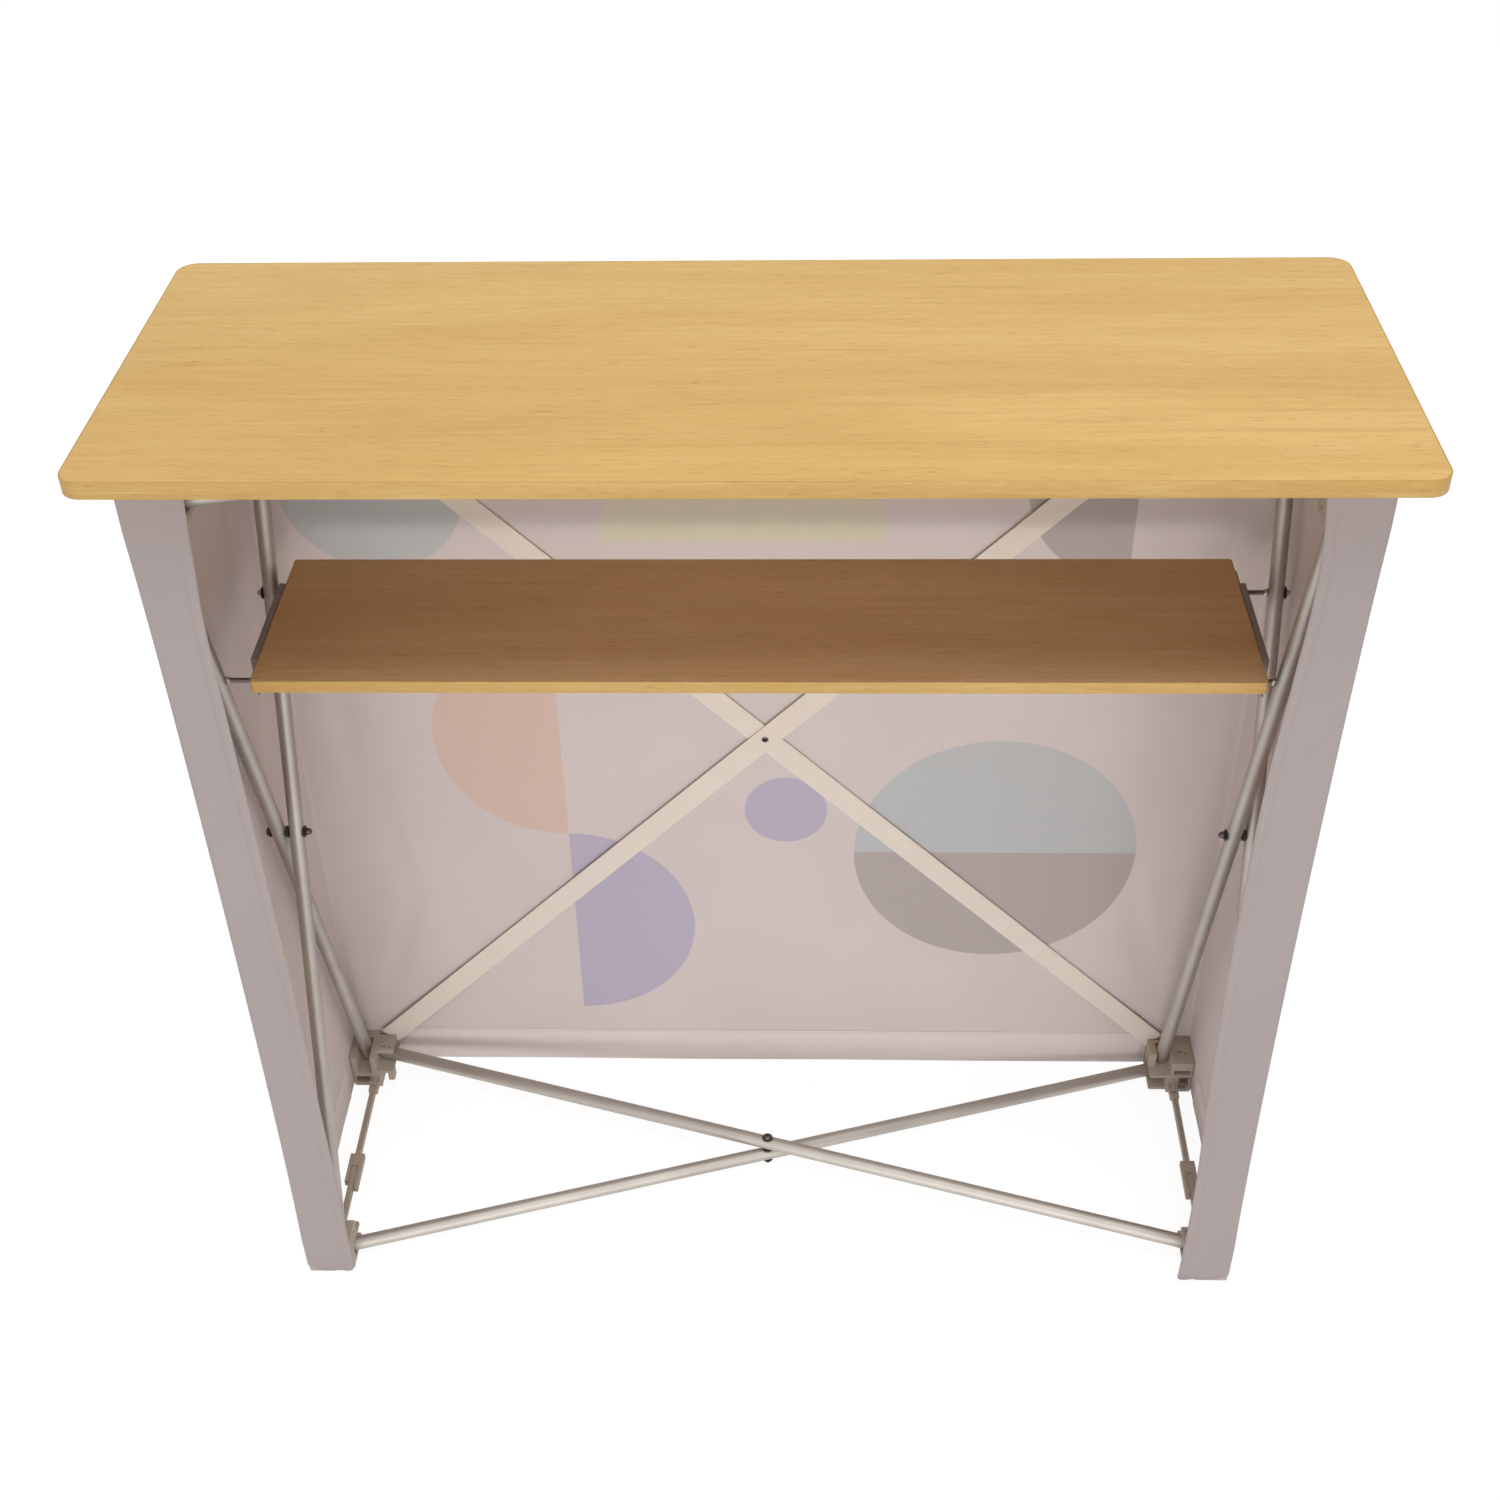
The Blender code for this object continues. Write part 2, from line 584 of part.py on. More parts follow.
flange_top = SHELF_UNDERSIDE - FIT
for side_name, side in SIDES.items():
    bracket_end = shelf_pin(side, ENDS["front"]).y + BRACKET_END_MARGIN
    flange_end = bracket_end - BRACKET_FLANGE_INSET
    bracket = add_box((side * (BRACKET_FACE - BRACKET_SHEET), side * BRACKET_FACE),
                      (-bracket_end, bracket_end),
                      (flange_top - BRACKET_HEIGHT, flange_top))
    fuse(bracket, add_box((side * (BRACKET_FACE - BRACKET_FLANGE), side * BRACKET_FACE),
                          (-flange_end, flange_end),
                          (flange_top - BRACKET_SHEET, flange_top)), "flange")
    fuse(bracket, add_box((side * (BRACKET_FACE - BRACKET_SHEET), side * BRACKET_FACE),
                          (-bracket_end, bracket_end - BRACKET_LIP_INSET),
                          (flange_top - BRACKET_SHEET, flange_top + BRACKET_LIP)), "lip")
    for end in ENDS.values():
        pin_y = shelf_pin(side, end).y
        radius = SHELF_PIN_DIAMETER / 2 + PIN_FIT
        cut(bracket, add_rod((side * (BRACKET_FACE - OVERRUN), pin_y, SHELF_PIN_Z),
                             (side * (BRACKET_FACE + OVERRUN), pin_y, SHELF_PIN_Z), radius),
            "notch end")
        cut(bracket, add_box((side * (BRACKET_FACE - OVERRUN), side * (BRACKET_FACE + OVERRUN)),
                             (pin_y - radius, pin_y + radius),
                             (SHELF_PIN_Z, flange_top - BRACKET_HEIGHT - OVERRUN)), "notch")
    adopt(bracket, f"shelf_bracket_{side_name}", BRACKET_STEEL,
          (side * BRACKET_FACE, 0, flange_top))


# Shelf pins: a stud with a collar inside its bar, and a nut outside the bar

for side_name, side in SIDES.items():
    for end_name, end in ENDS.items():
        middle = shelf_pin(side, end)
        inwards = Vector((-side, 0, 0))
        collar_base = BAR_RADIUS + FIT
        reach = abs(middle.x) - BRACKET_FACE + BRACKET_SHEET + SHELF_PIN_TIP
        nut_base = -BAR_RADIUS - FIT
        radius = SHELF_PIN_DIAMETER / 2
        collar_radius = SHELF_PIN_COLLAR_DIAMETER / 2
        stud = add_turned(
            [(0, reach),
             (radius, reach),
             (radius, collar_base + SHELF_PIN_COLLAR),
             (collar_radius, collar_base + SHELF_PIN_COLLAR),
             (collar_radius, collar_base),
             (radius, collar_base),
             (radius, nut_base - SHELF_NUT_HEIGHT / 2),
             (0, nut_base - SHELF_NUT_HEIGHT / 2)],
            middle, inwards)
        adopt(stud, f"shelf_pin_{end_name}_{side_name}", STEEL, middle)
        bore_depth = SHELF_NUT_HEIGHT / 2 + FIT
        nut = add_turned(
            dome(collar_radius, SHELF_NUT_HEIGHT - collar_radius / 2, collar_radius / 2)
            + [(collar_radius, 0),
               (radius + PIN_FIT, 0),
               (radius + PIN_FIT, bore_depth),
               (0, bore_depth)],
            middle - inwards * (BAR_RADIUS + FIT), -inwards)
        adopt(nut, f"shelf_nut_{end_name}_{side_name}", STEEL,
              middle - inwards * (BAR_RADIUS + FIT))


# Lock arms: moulded, hinged on the front hub's lug and clipped over the rear hub's finger

def make_arm(side, level, name):
    """A lock arm that lies from the front hub towards the rear hub."""
    middle_x = arm_x(side, level)
    z = level_z(level, ARM_DROP)
    hinge = Vector((middle_x, ARM_HINGE_Y, z))
    neck_y = ARM_HINGE_Y - ARM_CHEEK_RADIUS - FIT
    fork_y = FORK_TIP_Y + FORK_INNER_PRONG + FORK_BASE_LENGTH
    half_height = ARM_HEIGHT / 2
    z_range = (z - half_height, z + half_height)

    def arm_box(across, y_range):
        return add_box([middle_x + side * u for u in across], y_range, z_range)

    half_width = ARM_WIDTH / 2
    half_lug = ARM_LUG_WIDTH / 2 + FIT
    half_root = half_lug + ARM_CHEEK_THICKNESS
    arm = arm_box((-half_width, half_width), (neck_y, fork_y - FORK_BASE_LENGTH / 2))
    fuse(arm, arm_box((-half_root, half_root), (neck_y, neck_y - ARM_NECK_LENGTH)), "neck")
    for way in (-1, 1):
        inner = middle_x + way * half_lug
        outer = middle_x + way * half_root
        fuse(arm, add_box((inner, outer), (neck_y - ARM_NECK_LENGTH / 2, ARM_HINGE_Y), z_range),
             "cheek")
        fuse(arm, add_rod((inner, ARM_HINGE_Y, z), (outer, ARM_HINGE_Y, z), ARM_CHEEK_RADIUS),
             "cheek end")
    fuse(arm, add_rod((middle_x - half_lug - FIT, ARM_HINGE_Y, z),
                      (middle_x + half_lug + FIT, ARM_HINGE_Y, z), ARM_TRUNNION_DIAMETER / 2),
         "trunnion")

    half_fork = FORK_WIDTH / 2
    half_gap = FORK_INNER_WIDTH / 2
    prong_root = fork_y - FORK_BASE_LENGTH
    fuse(arm, arm_box((-half_fork, half_fork), (fork_y, prong_root)), "fork base")
    lap = FORK_BASE_LENGTH / 2
    fuse(arm, arm_box((-half_fork, -half_gap), (prong_root + lap, prong_root - FORK_INNER_PRONG)),
         "inner prong")
    fuse(arm, arm_box((half_gap, half_fork), (prong_root + lap, prong_root - FORK_OUTER_PRONG)),
         "outer prong")
    adopt(arm, name, HUB_PLASTIC, hinge)


for level_name, level in LEVELS.items():
    for side_name, side in SIDES.items():
        make_arm(side, level, f"lock_arm_{level_name}_{side_name}")


# Webbing bands: flat straps from hub to hub behind the front cloth, held by one eyelet

band_middle_y = FRONT_FACE - BAND_SETBACK
band_end = Vector((HUB_X - BAND_END_INSET, 0, MID_HEIGHT - BAND_END_RISE))
band_angle = Vector((1, 0)).angle(Vector((band_end.x, band_end.z)))
barrel_radius = EYELET_BARREL_DIAMETER / 2
for name, way in (("band_rear", 1), ("band_front", -1)):
    y = band_middle_y - way * BAND_PITCH / 2
    band = add_box((-band_end.length, band_end.length),
                   (y - BAND_THICKNESS / 2, y + BAND_THICKNESS / 2),
                   (MID_HEIGHT - BAND_WIDTH / 2, MID_HEIGHT + BAND_WIDTH / 2))
    band.rotation_euler = (0, -way * band_angle, 0)
    cut(band, add_rod((0, y - OVERRUN, MID_HEIGHT), (0, y + OVERRUN, MID_HEIGHT),
                      barrel_radius + PIN_FIT), "eyelet hole")
    adopt(band, name, WEBBING, (0, y, MID_HEIGHT))

eyelet_reach = BAND_PITCH / 2 + BAND_THICKNESS / 2 + FIT
eyelet_radius = EYELET_DIAMETER / 2
bore_radius = EYELET_BORE_DIAMETER / 2
eyelet = add_turned(
    [(eyelet_radius, eyelet_reach + EYELET_FLANGE),
     (eyelet_radius, eyelet_reach),
     (barrel_radius, eyelet_reach),
     (barrel_radius, -eyelet_reach),
     (eyelet_radius, -eyelet_reach),
     (eyelet_radius, -eyelet_reach - EYELET_FLANGE),
     (bore_radius, -eyelet_reach - EYELET_FLANGE),
     (bore_radius, eyelet_reach + EYELET_FLANGE)],
    (0, band_middle_y, MID_HEIGHT), (0, -1, 0))
adopt(eyelet, "band_eyelet", STEEL, (0, band_middle_y, MID_HEIGHT))


# Cloth: one printed stretch cloth, kept as a flat panel for each face that it covers

cloth_z = (CLOTH_FLOOR_GAP, CLOTH_TOP)
front_panel = add_box((-CLOTH_FACE_X - CLOTH_THICKNESS, CLOTH_FACE_X + CLOTH_THICKNESS),
                      (CLOTH_FACE_Y, CLOTH_FACE_Y + CLOTH_THICKNESS), cloth_z)
adopt(front_panel, "cloth_front", CLOTH, (0, CLOTH_FACE_Y, MID_HEIGHT))
for side_name, side in SIDES.items():
    end_x = side * CLOTH_FACE_X
    end_panel = add_box((end_x, end_x + side * CLOTH_THICKNESS),
                        (FIT - CLOTH_FACE_Y, CLOTH_FACE_Y - FIT), cloth_z)
    adopt(end_panel, f"cloth_end_{side_name}", CLOTH, (end_x, 0, MID_HEIGHT))
    edge_x = end_x + side * CLOTH_THICKNESS
    return_panel = add_box((edge_x - side * CLOTH_RETURN, edge_x),
                           (-CLOTH_FACE_Y, -CLOTH_FACE_Y - CLOTH_THICKNESS), cloth_z)
    adopt(return_panel, f"cloth_return_{side_name}", CLOTH, (end_x, -CLOTH_FACE_Y, MID_HEIGHT))
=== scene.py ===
"""Looks of a pop-up exhibition counter, seen from its open rear side.

Metres, +Z up, +X to the operator's right, +Y towards the customer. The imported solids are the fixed
frame. Each section below dresses one piece of the counter or one group of like pieces.
"""

from math import cos, exp, pi, radians, sin, sqrt

import bmesh
import bpy
from mathutils import Euler, Matrix, Vector


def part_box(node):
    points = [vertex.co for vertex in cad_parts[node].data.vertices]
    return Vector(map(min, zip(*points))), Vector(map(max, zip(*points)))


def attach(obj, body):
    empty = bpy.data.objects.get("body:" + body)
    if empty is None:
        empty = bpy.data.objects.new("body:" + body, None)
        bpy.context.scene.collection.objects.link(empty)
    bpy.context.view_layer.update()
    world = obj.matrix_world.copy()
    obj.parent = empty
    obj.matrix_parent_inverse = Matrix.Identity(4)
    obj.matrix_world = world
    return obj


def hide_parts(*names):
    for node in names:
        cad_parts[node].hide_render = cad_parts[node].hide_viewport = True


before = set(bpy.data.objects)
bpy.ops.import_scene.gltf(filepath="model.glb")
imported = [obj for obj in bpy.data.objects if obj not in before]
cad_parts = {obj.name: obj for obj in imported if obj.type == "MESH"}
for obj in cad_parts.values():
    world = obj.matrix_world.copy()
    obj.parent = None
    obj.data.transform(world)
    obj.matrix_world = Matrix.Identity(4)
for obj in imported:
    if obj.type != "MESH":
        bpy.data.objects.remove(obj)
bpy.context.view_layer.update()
MM = 0.001


# Camera. The photograph looks down on the open rear side from the operator's head height, a little
# to the right of the middle, with a normal lens.
CAMERA_PLACE = Vector((0.048, -1.463, 1.768))
CAMERA_YAW = radians(2.27)
CAMERA_PITCH = radians(-38.49)
CAMERA_ROLL = radians(-1.27)
FOCAL_LENGTH_MM = 47.13
SENSOR_MM = 36


def add_object(name, data):
    """A new object in the scene."""
    made = bpy.data.objects.new(name, data)
    bpy.context.scene.collection.objects.link(made)
    return made


camera_data = bpy.data.cameras.new("camera")
camera_data.sensor_width = SENSOR_MM
camera_data.lens = FOCAL_LENGTH_MM
camera = add_object("camera", camera_data)
camera.matrix_world = (
    Matrix.Translation(CAMERA_PLACE)
    @ Euler((pi / 2 + CAMERA_PITCH, 0, CAMERA_YAW)).to_matrix().to_4x4()
    @ Matrix.Rotation(CAMERA_ROLL, 4, "Z")
)
bpy.context.scene.camera = camera
bpy.context.scene.view_settings.view_transform = "Standard"


# Worktop. A 15 mm particle board faced with satin beech-pattern laminate, cut with 18 mm corners.
# A 1 mm edge band of the same pattern is glued round it, and four blind sockets below drop over
# the spigots of the top hubs.
WORKTOP_CORNER = 18 * MM
EDGE_BAND = 1.0 * MM
EDGE_BAND_ARRIS = 0.4 * MM
BOARD_ARRIS = 0.15 * MM
BAND_SEAM = 0.05 * MM
CORNER_STEPS = 12
NEAR = 0.05 * MM                # places closer than this count as one
SMOOTH_ANGLE = radians(35)
SHARP_EDGE = radians(40)        # least angle of an edge that is rounded, unless stated
SQUARE_EDGE = radians(60)       # and on a board
SOCKET_RADIUS = 5.3 * MM
SOCKET_DEPTH = 9 * MM
SOCKET_SIDES = 24
SPIGOT_FROM_FACE = 21.5 * MM    # hub's cloth face to the middle of its spigot


def colour(text):
    """An sRGB hex value as the linear colour that a socket takes."""
    shares = [int(text[i:i + 2], 16) / 255 for i in (1, 3, 5)]
    return (*[s / 12.92 if s <= 0.04045 else ((s + 0.055) / 1.055) ** 2.4 for s in shares], 1)


def start_material(name, roughness, metallic=0.0):
    """A new material with one Principled shader; returns it, its node tree and the shader."""
    material = bpy.data.materials.new(name)
    material.use_nodes = True
    shader = material.node_tree.nodes["Principled BSDF"]
    shader.inputs["Roughness"].default_value = roughness
    shader.inputs["Metallic"].default_value = metallic
    return material, material.node_tree, shader


def add_node(tree, kind, settings=None, inputs=None):
    """Adds a node, with its settings and with a value or a link for each of its inputs."""
    made = tree.nodes.new("ShaderNode" + kind)
    for name, value in (settings or {}).items():
        setattr(made, name, value)
    for name, value in (inputs or {}).items():
        if isinstance(value, bpy.types.NodeSocket):
            tree.links.new(value, made.inputs[name])
        else:
            made.inputs[name].default_value = value
    return made


def object_place(tree):
    return add_node(tree, "TexCoord").outputs["Object"]


def noise(tree, place, size, detail, **more):
    """Noise with blotches of one size, or of one size along each axis of the place."""
    if isinstance(size, tuple):
        place = add_node(tree, "Mapping", None, {
            "Vector": place, "Scale": [1 / length for length in size]}).outputs[0]
        size = 1
    return add_node(tree, "TexNoise", None, {
        "Vector": place, "Scale": 1 / size, "Detail": detail, **more}).outputs["Fac"]


def blend(tree, share, under, over):
    """A blend of two colours, each a hex value or a socket."""
    ends = [colour(end) if isinstance(end, str) else end for end in (under, over)]
    return add_node(tree, "Mix", {"data_type": "RGBA"}, {
        0: share, 6: ends[0], 7: ends[1]}).outputs[2]


def remap(tree, value, start, end, least=0.0, most=1.0):
    """A value that runs from start to end, made to run from least to most."""
    return add_node(tree, "MapRange", None, {
        "Value": value, "From Min": start, "From Max": end, "To Min": least,
        "To Max": most}).outputs[0]


def vary_roughness(tree, shader, value, least, most):
    """Lets a noise, which lies mostly between 0.3 and 0.7, vary the roughness of a shader."""
    tree.links.new(remap(tree, value, 0.3, 0.7, least, most), shader.inputs["Roughness"])


def emboss(tree, shader, height, strength, depth):
    """Gives a shader a fine relief."""
    relief = add_node(tree, "Bump", None, {"Strength": strength, "Distance": depth, "Height": height})
    tree.links.new(relief.outputs[0], shader.inputs["Normal"])


def beech_laminate(name, along, deep, pale):
    """Printed laminate, so its grain is drawn, not felt: soft bands, wavy rings, streaks and flecks.

    along holds 1 for each axis that the grain follows and 0 for each axis that it crosses. deep and
    pale are the two tones of the ground.
    """
    material, tree, shader = start_material(name, 0.42)
    shader.inputs["Specular IOR Level"].default_value = 0.25
    place = object_place(tree)

    def grain(run, width, detail, distortion):
        """Noise drawn out along the grain."""
        size = tuple(run if follows else width for follows in along)
        return noise(tree, place, size, detail, Roughness=0.6, Distortion=distortion)

    tone = add_node(tree, "ValToRGB", None, {"Fac": grain(700 * MM, 90 * MM, 3, 0.8)})
    for stop, position, ink in zip(tone.color_ramp.elements, (0.32, 0.68), (deep, pale)):
        stop.position = position
        stop.color = colour(ink)
    rings = grain(420 * MM, 17 * MM, 2, 1.6)
    streaks = grain(130 * MM, 4.5 * MM, 4, 0.6)
    flecks = grain(17 * MM, 1.5 * MM, 2, 0.3)       # real flecks are about half as wide
    drawn = tone.outputs["Color"]
    for ink, lines, start, end, most in (
            ("#C2924B", rings, 0.55, 0.75, 0.30), ("#C4954F", streaks, 0.52, 0.76, 0.34),
            ("#EBCB90", streaks, 0.46, 0.24, 0.30), ("#A17036", flecks, 0.60, 0.76, 0.50),
            ("#F0D49E", flecks, 0.38, 0.22, 0.32)):
        drawn = blend(tree, remap(tree, lines, start, end, 0.0, most), drawn, ink)
    tree.links.new(drawn, shader.inputs["Base Color"])
    vary_roughness(tree, shader, flecks, 0.38, 0.48)
    emboss(tree, shader, flecks, 0.12, 0.05 * MM)
    return material


def select_only(*pieces):
    """Selects these pieces and nothing else."""
    bpy.ops.object.select_all(action="DESELECT")
    for piece in pieces:
        piece.select_set(True)
        bpy.context.view_layer.objects.active = piece


def settle(name):
    """Moves the place, turn and size of the new shape into its mesh, and names it."""
    bpy.ops.object.transform_apply(location=True, rotation=True, scale=True)
    bpy.context.object.name = name
    return bpy.context.object


def add_block(name, low, high):
    """A block between two corners."""
    select_only()
    low, high = Vector(low), Vector(high)
    bpy.ops.mesh.primitive_cube_add(size=1, location=(low + high) / 2, scale=high - low)
    return settle(name)


def add_rod(name, start, end, radius, sides):
    """A rod from one point to another."""
    select_only()
    start, end = Vector(start), Vector(end)
    turn = (end - start).to_track_quat("Z", "Y").to_euler()
    bpy.ops.mesh.primitive_cylinder_add(vertices=sides, radius=radius, depth=(end - start).length,
                                        location=(start + end) / 2, rotation=turn)
    return settle(name)


def pick(piece, kind, test=lambda element: True):
    """Goes into edit mode and selects the verts, edges or faces for which the test holds."""
    bpy.context.view_layer.objects.active = piece
    bpy.ops.object.mode_set(mode="EDIT")
    bpy.ops.mesh.select_mode(type={"verts": "VERT", "edges": "EDGE", "faces": "FACE"}[kind])
    bpy.ops.mesh.select_all(action="DESELECT")
    mesh = bmesh.from_edit_mesh(piece.data)
    for element in getattr(mesh, kind):
        if test(element):
            element.select_set(True)
    bmesh.update_edit_mesh(piece.data)


def leave_edit():
    bpy.ops.object.mode_set(mode="OBJECT")


def apply_modifier(piece, kind, **settings):
    """Adds a modifier to a piece and applies it."""
    select_only(piece)
    step = piece.modifiers.new(kind.lower(), kind)
    for name, value in settings.items():
        setattr(step, name, value)
    bpy.ops.object.modifier_apply(modifier=step.name)


def round_edges(piece, width, segments=2, angle=SHARP_EDGE):
    """Rounds the edges of a piece that are at least as sharp as an angle."""
    apply_modifier(piece, "BEVEL", width=width, segments=segments, limit_method="ANGLE",
                   angle_limit=angle)


def cut_out(piece, cutter):
    """Cuts one shape out of a piece and removes the cutter."""
    apply_modifier(piece, "BOOLEAN", operation="DIFFERENCE", object=cutter, solver="EXACT")
    bpy.data.objects.remove(cutter)


def finish_piece(piece, material, body, slot, *replaced):
    """Gives a piece its material and smooth shading, and has it move with its body."""
    piece.data.materials.clear()
    piece.data.materials.append(material)
    select_only(piece)
    bpy.ops.object.shade_smooth_by_angle(angle=SMOOTH_ANGLE)
    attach(piece, body)
    if replaced:
        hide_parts(*replaced)
    return piece


def upright(edge):
    """Whether an edge stands straight up."""
    return (edge.verts[0].co - edge.verts[1].co).xy.length < NEAR


def make_board(name, node, corner, body, cut=()):
    """A laminated board with its edge band, in the place of a solid, less what is cut out of it."""
    low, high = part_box(node)
    inset = Vector((EDGE_BAND + BAND_SEAM, EDGE_BAND + BAND_SEAM, 0))
    board = add_block(f"{name}_board", low + inset, high - inset)
    pick(board, "edges", upright)
    bpy.ops.mesh.bevel(offset=corner - EDGE_BAND, segments=CORNER_STEPS, affect="EDGES")
    leave_edit()
    band = add_block(f"{name}_edge_band", low, high)
    pick(band, "edges", upright)
    bpy.ops.mesh.bevel(offset=corner, segments=CORNER_STEPS, affect="EDGES")
    pick(band, "faces", lambda face: abs(face.normal.z) > cos(SMOOTH_ANGLE))
    bpy.ops.mesh.delete(type="FACE")
    leave_edit()
    apply_modifier(band, "SOLIDIFY", thickness=EDGE_BAND, offset=-1)
    round_edges(band, EDGE_BAND_ARRIS, angle=SQUARE_EDGE)
    finish_piece(band, band_laminate, body, "board")
    for start, end in cut:
        cut_out(board, add_rod("socket", start, end, SOCKET_RADIUS, SOCKET_SIDES))
    round_edges(board, BOARD_ARRIS, 1, SQUARE_EDGE)
    return board


face_laminate = beech_laminate("beech-pattern laminate, satin", (1, 0, 0), "#D5A961", "#E0B971")
band_laminate = beech_laminate("beech-pattern edge band", (1, 1, 0), "#BE9856", "#CCA867")

sockets = []
for side in ("left", "right"):
    for end, towards in (("front", 1), ("rear", -1)):
        hub_low, hub_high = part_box(f"hub_top_{end}_{side}")
        face = hub_high.y if towards > 0 else hub_low.y
        foot = Vector(((hub_low.x + hub_high.x) / 2, face - towards * SPIGOT_FROM_FACE,
                       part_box("worktop")[0].z))
        rise = Vector((0, 0, SOCKET_DEPTH))
        sockets.append((foot - rise, foot + rise))
worktop = make_board("worktop", "worktop", WORKTOP_CORNER, "worktop", sockets)
finish_piece(worktop, face_laminate, "worktop", "board", "worktop")


# Shelf. A thinner board of the same laminate with almost square corners. It isn't fixed to the
# frame: the brackets below it hang on four pins of the side bars.
SHELF_CORNER = 2.5 * MM

# The shelf's laminate is the worktop's, made greyer and pinker as painted shade: it stands in for the
# dim light under the worktop, which the lavender cloth tints.
shelf_laminate_painted_shade = beech_laminate("beech-pattern laminate, shelf", (1, 0, 0), "#C8A278", "#D5B28A")
shelf = make_board("shelf", "shelf_board", SHELF_CORNER, "shelf")
finish_piece(shelf, shelf_laminate_painted_shade, "shelf", "board", "shelf_board")


# Shelf brackets. Folded steel sheet, powder coated grey, with its flange screwed under each end of
# the shelf and two notches in its web that drop over the pins. A lip stands up beside the end of
# the shelf, with its top edge folded inwards.
SHEET_ARRIS = 0.35 * MM
SHEET_THICKNESS = 1.5 * MM
SHEET_FIT = 0.3 * MM
FOLDED_EDGE = radians(50)       # least angle of an edge that is rounded on folded sheet
MOULDED_EDGE = radians(30)      # and on moulded or turned pieces
SAME_FACE = radians(1)          # faces that meet at less are parts of one flat face
HEM_INWARDS = 5.4 * MM          # folded edge along the top of the lip
HEM_DEPTH = 3 * MM
HEM_ROUNDING = 2.4 * MM
LIP_FRONT_INSET = 38 * MM
SCREW_HEAD_RADIUS = 3.2 * MM
SCREW_HEAD_HEIGHT = 1.4 * MM
SCREW_SIDES = 20
SCREW_SLOT = 0.8 * MM
SCREW_SLOT_REACH = 2.08 * MM
SCREW_MARGIN = 22 * MM          # first and last screw to the ends of the bracket
FLANGE_SCREW_INSET = 15 * MM    # screws to the web of the bracket


def edged_copy(node, name, edge=None):
    """A copy of a solid with its flat faces made whole, and its sharp edges rounded if asked."""
    piece = add_object(name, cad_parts[node].data.copy())
    pick(piece, "verts")
    bpy.ops.mesh.remove_doubles(threshold=0.01 * MM)
    bpy.ops.mesh.dissolve_limited(angle_limit=SAME_FACE)
    leave_edit()
    if edge:
        round_edges(piece, edge, angle=MOULDED_EDGE)
    return piece


def two_tone(name, roughness, metallic, size, detail, dark, light):
    """A material that drifts between two tones, in blotches of one size. Returns it, its node tree,
    its shader and the drift."""
    material, tree, shader = start_material(name, roughness, metallic)
    drift = noise(tree, object_place(tree), size, detail)
    tree.links.new(blend(tree, drift, dark, light), shader.inputs["Base Color"])
    return material, tree, shader, drift


def powder_coat():
    """Baked powder on steel: an even satin colour with a faint orange-peel ripple."""
    material, tree, shader, ripple = two_tone("powder-coated steel, grey", 0.5, 0.0,
                                              1.6 * MM, 2.0, "#7F787C", "#8E878B")
    emboss(tree, shader, ripple, 0.25, 0.05 * MM)
    return material


def plated_steel():
    """Zinc plate: a bright grey metal, slightly cloudy, with soft highlights."""
    material, tree, shader, cloud = two_tone("zinc-plated steel", 0.28, 1.0,
                                             3 * MM, 3.0, "#B3B0AA", "#CFCCC6")
    vary_roughness(tree, shader, cloud, 0.22, 0.38)
    return material


def stand_rod(name, height, radius, sides):
    """A rod that stands on the origin."""
    return add_rod(name, (0, 0, 0), (0, 0, height), radius, sides)


def copy_along(template, name, foot, axis):
    """A copy, with its own mesh, of a piece modelled upright on the origin, set on foot along axis."""
    piece = add_object(name, template.data.copy())
    turn = Vector(axis).to_track_quat("Z", "Y").to_matrix().to_4x4()
    piece.data.transform(Matrix.Translation(foot) @ turn)
    return piece


def discard(*templates):
    """Removes the pieces that only served as templates."""
    for template in templates:
        bpy.data.objects.remove(template)


def join_up(piece, part):
    """Fuses a part to a piece."""
    apply_modifier(piece, "BOOLEAN", operation="UNION", object=part, solver="EXACT")
    bpy.data.objects.remove(part)


bracket_coat = powder_coat()
zinc = plated_steel()
cross_screw = stand_rod("cross screw", SCREW_HEAD_HEIGHT, SCREW_HEAD_RADIUS, SCREW_SIDES)
round_edges(cross_screw, SCREW_HEAD_HEIGHT / 2, 3)
crown = Vector((0, 0, SCREW_HEAD_HEIGHT))
for half_x, half_y in ((SCREW_SLOT_REACH, SCREW_SLOT / 2), (SCREW_SLOT / 2, SCREW_SLOT_REACH)):
    reach = Vector((half_x, half_y, SCREW_HEAD_HEIGHT / 2))
    cut_out(cross_screw, add_block("recess", crown - reach, crown + reach))
flange_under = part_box("shelf_board")[0].z - SHEET_FIT - SHEET_THICKNESS
for side, way in (("left", -1), ("right", 1)):
    node = f"shelf_bracket_{side}"
    bracket = edged_copy(node, f"bracket_{side}")
    low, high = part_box(node)
    web = high.x if way > 0 else low.x
    hem_x = sorted((web, web - way * HEM_INWARDS))
    join_up(bracket, add_block("hem", (hem_x[0], low.y, high.z - HEM_DEPTH / 2),
                               (hem_x[1], high.y - LIP_FRONT_INSET, high.z + HEM_DEPTH / 2)))
    pick(bracket, "edges", lambda edge: all(vert.co.z > high.z + NEAR for vert in edge.verts)
         and abs(edge.verts[0].co.y - edge.verts[1].co.y) < NEAR)
    bpy.ops.mesh.bevel(offset=HEM_ROUNDING, segments=4, affect="EDGES")
    leave_edit()
    round_edges(bracket, SHEET_ARRIS, angle=FOLDED_EDGE)
    finish_piece(bracket, bracket_coat, "shelf", "bracket_steel", node)
    for place, y in (("rear", low.y + SCREW_MARGIN), ("middle", 0), ("front", high.y - SCREW_MARGIN)):
        screw = copy_along(cross_screw, f"bracket_screw_{side}_{place}",
                           (web - way * FLANGE_SCREW_INSET, y, flange_under), (0, 0, -1))
        finish_piece(screw, zinc, "shelf", "fastener_steel")
discard(cross_screw)


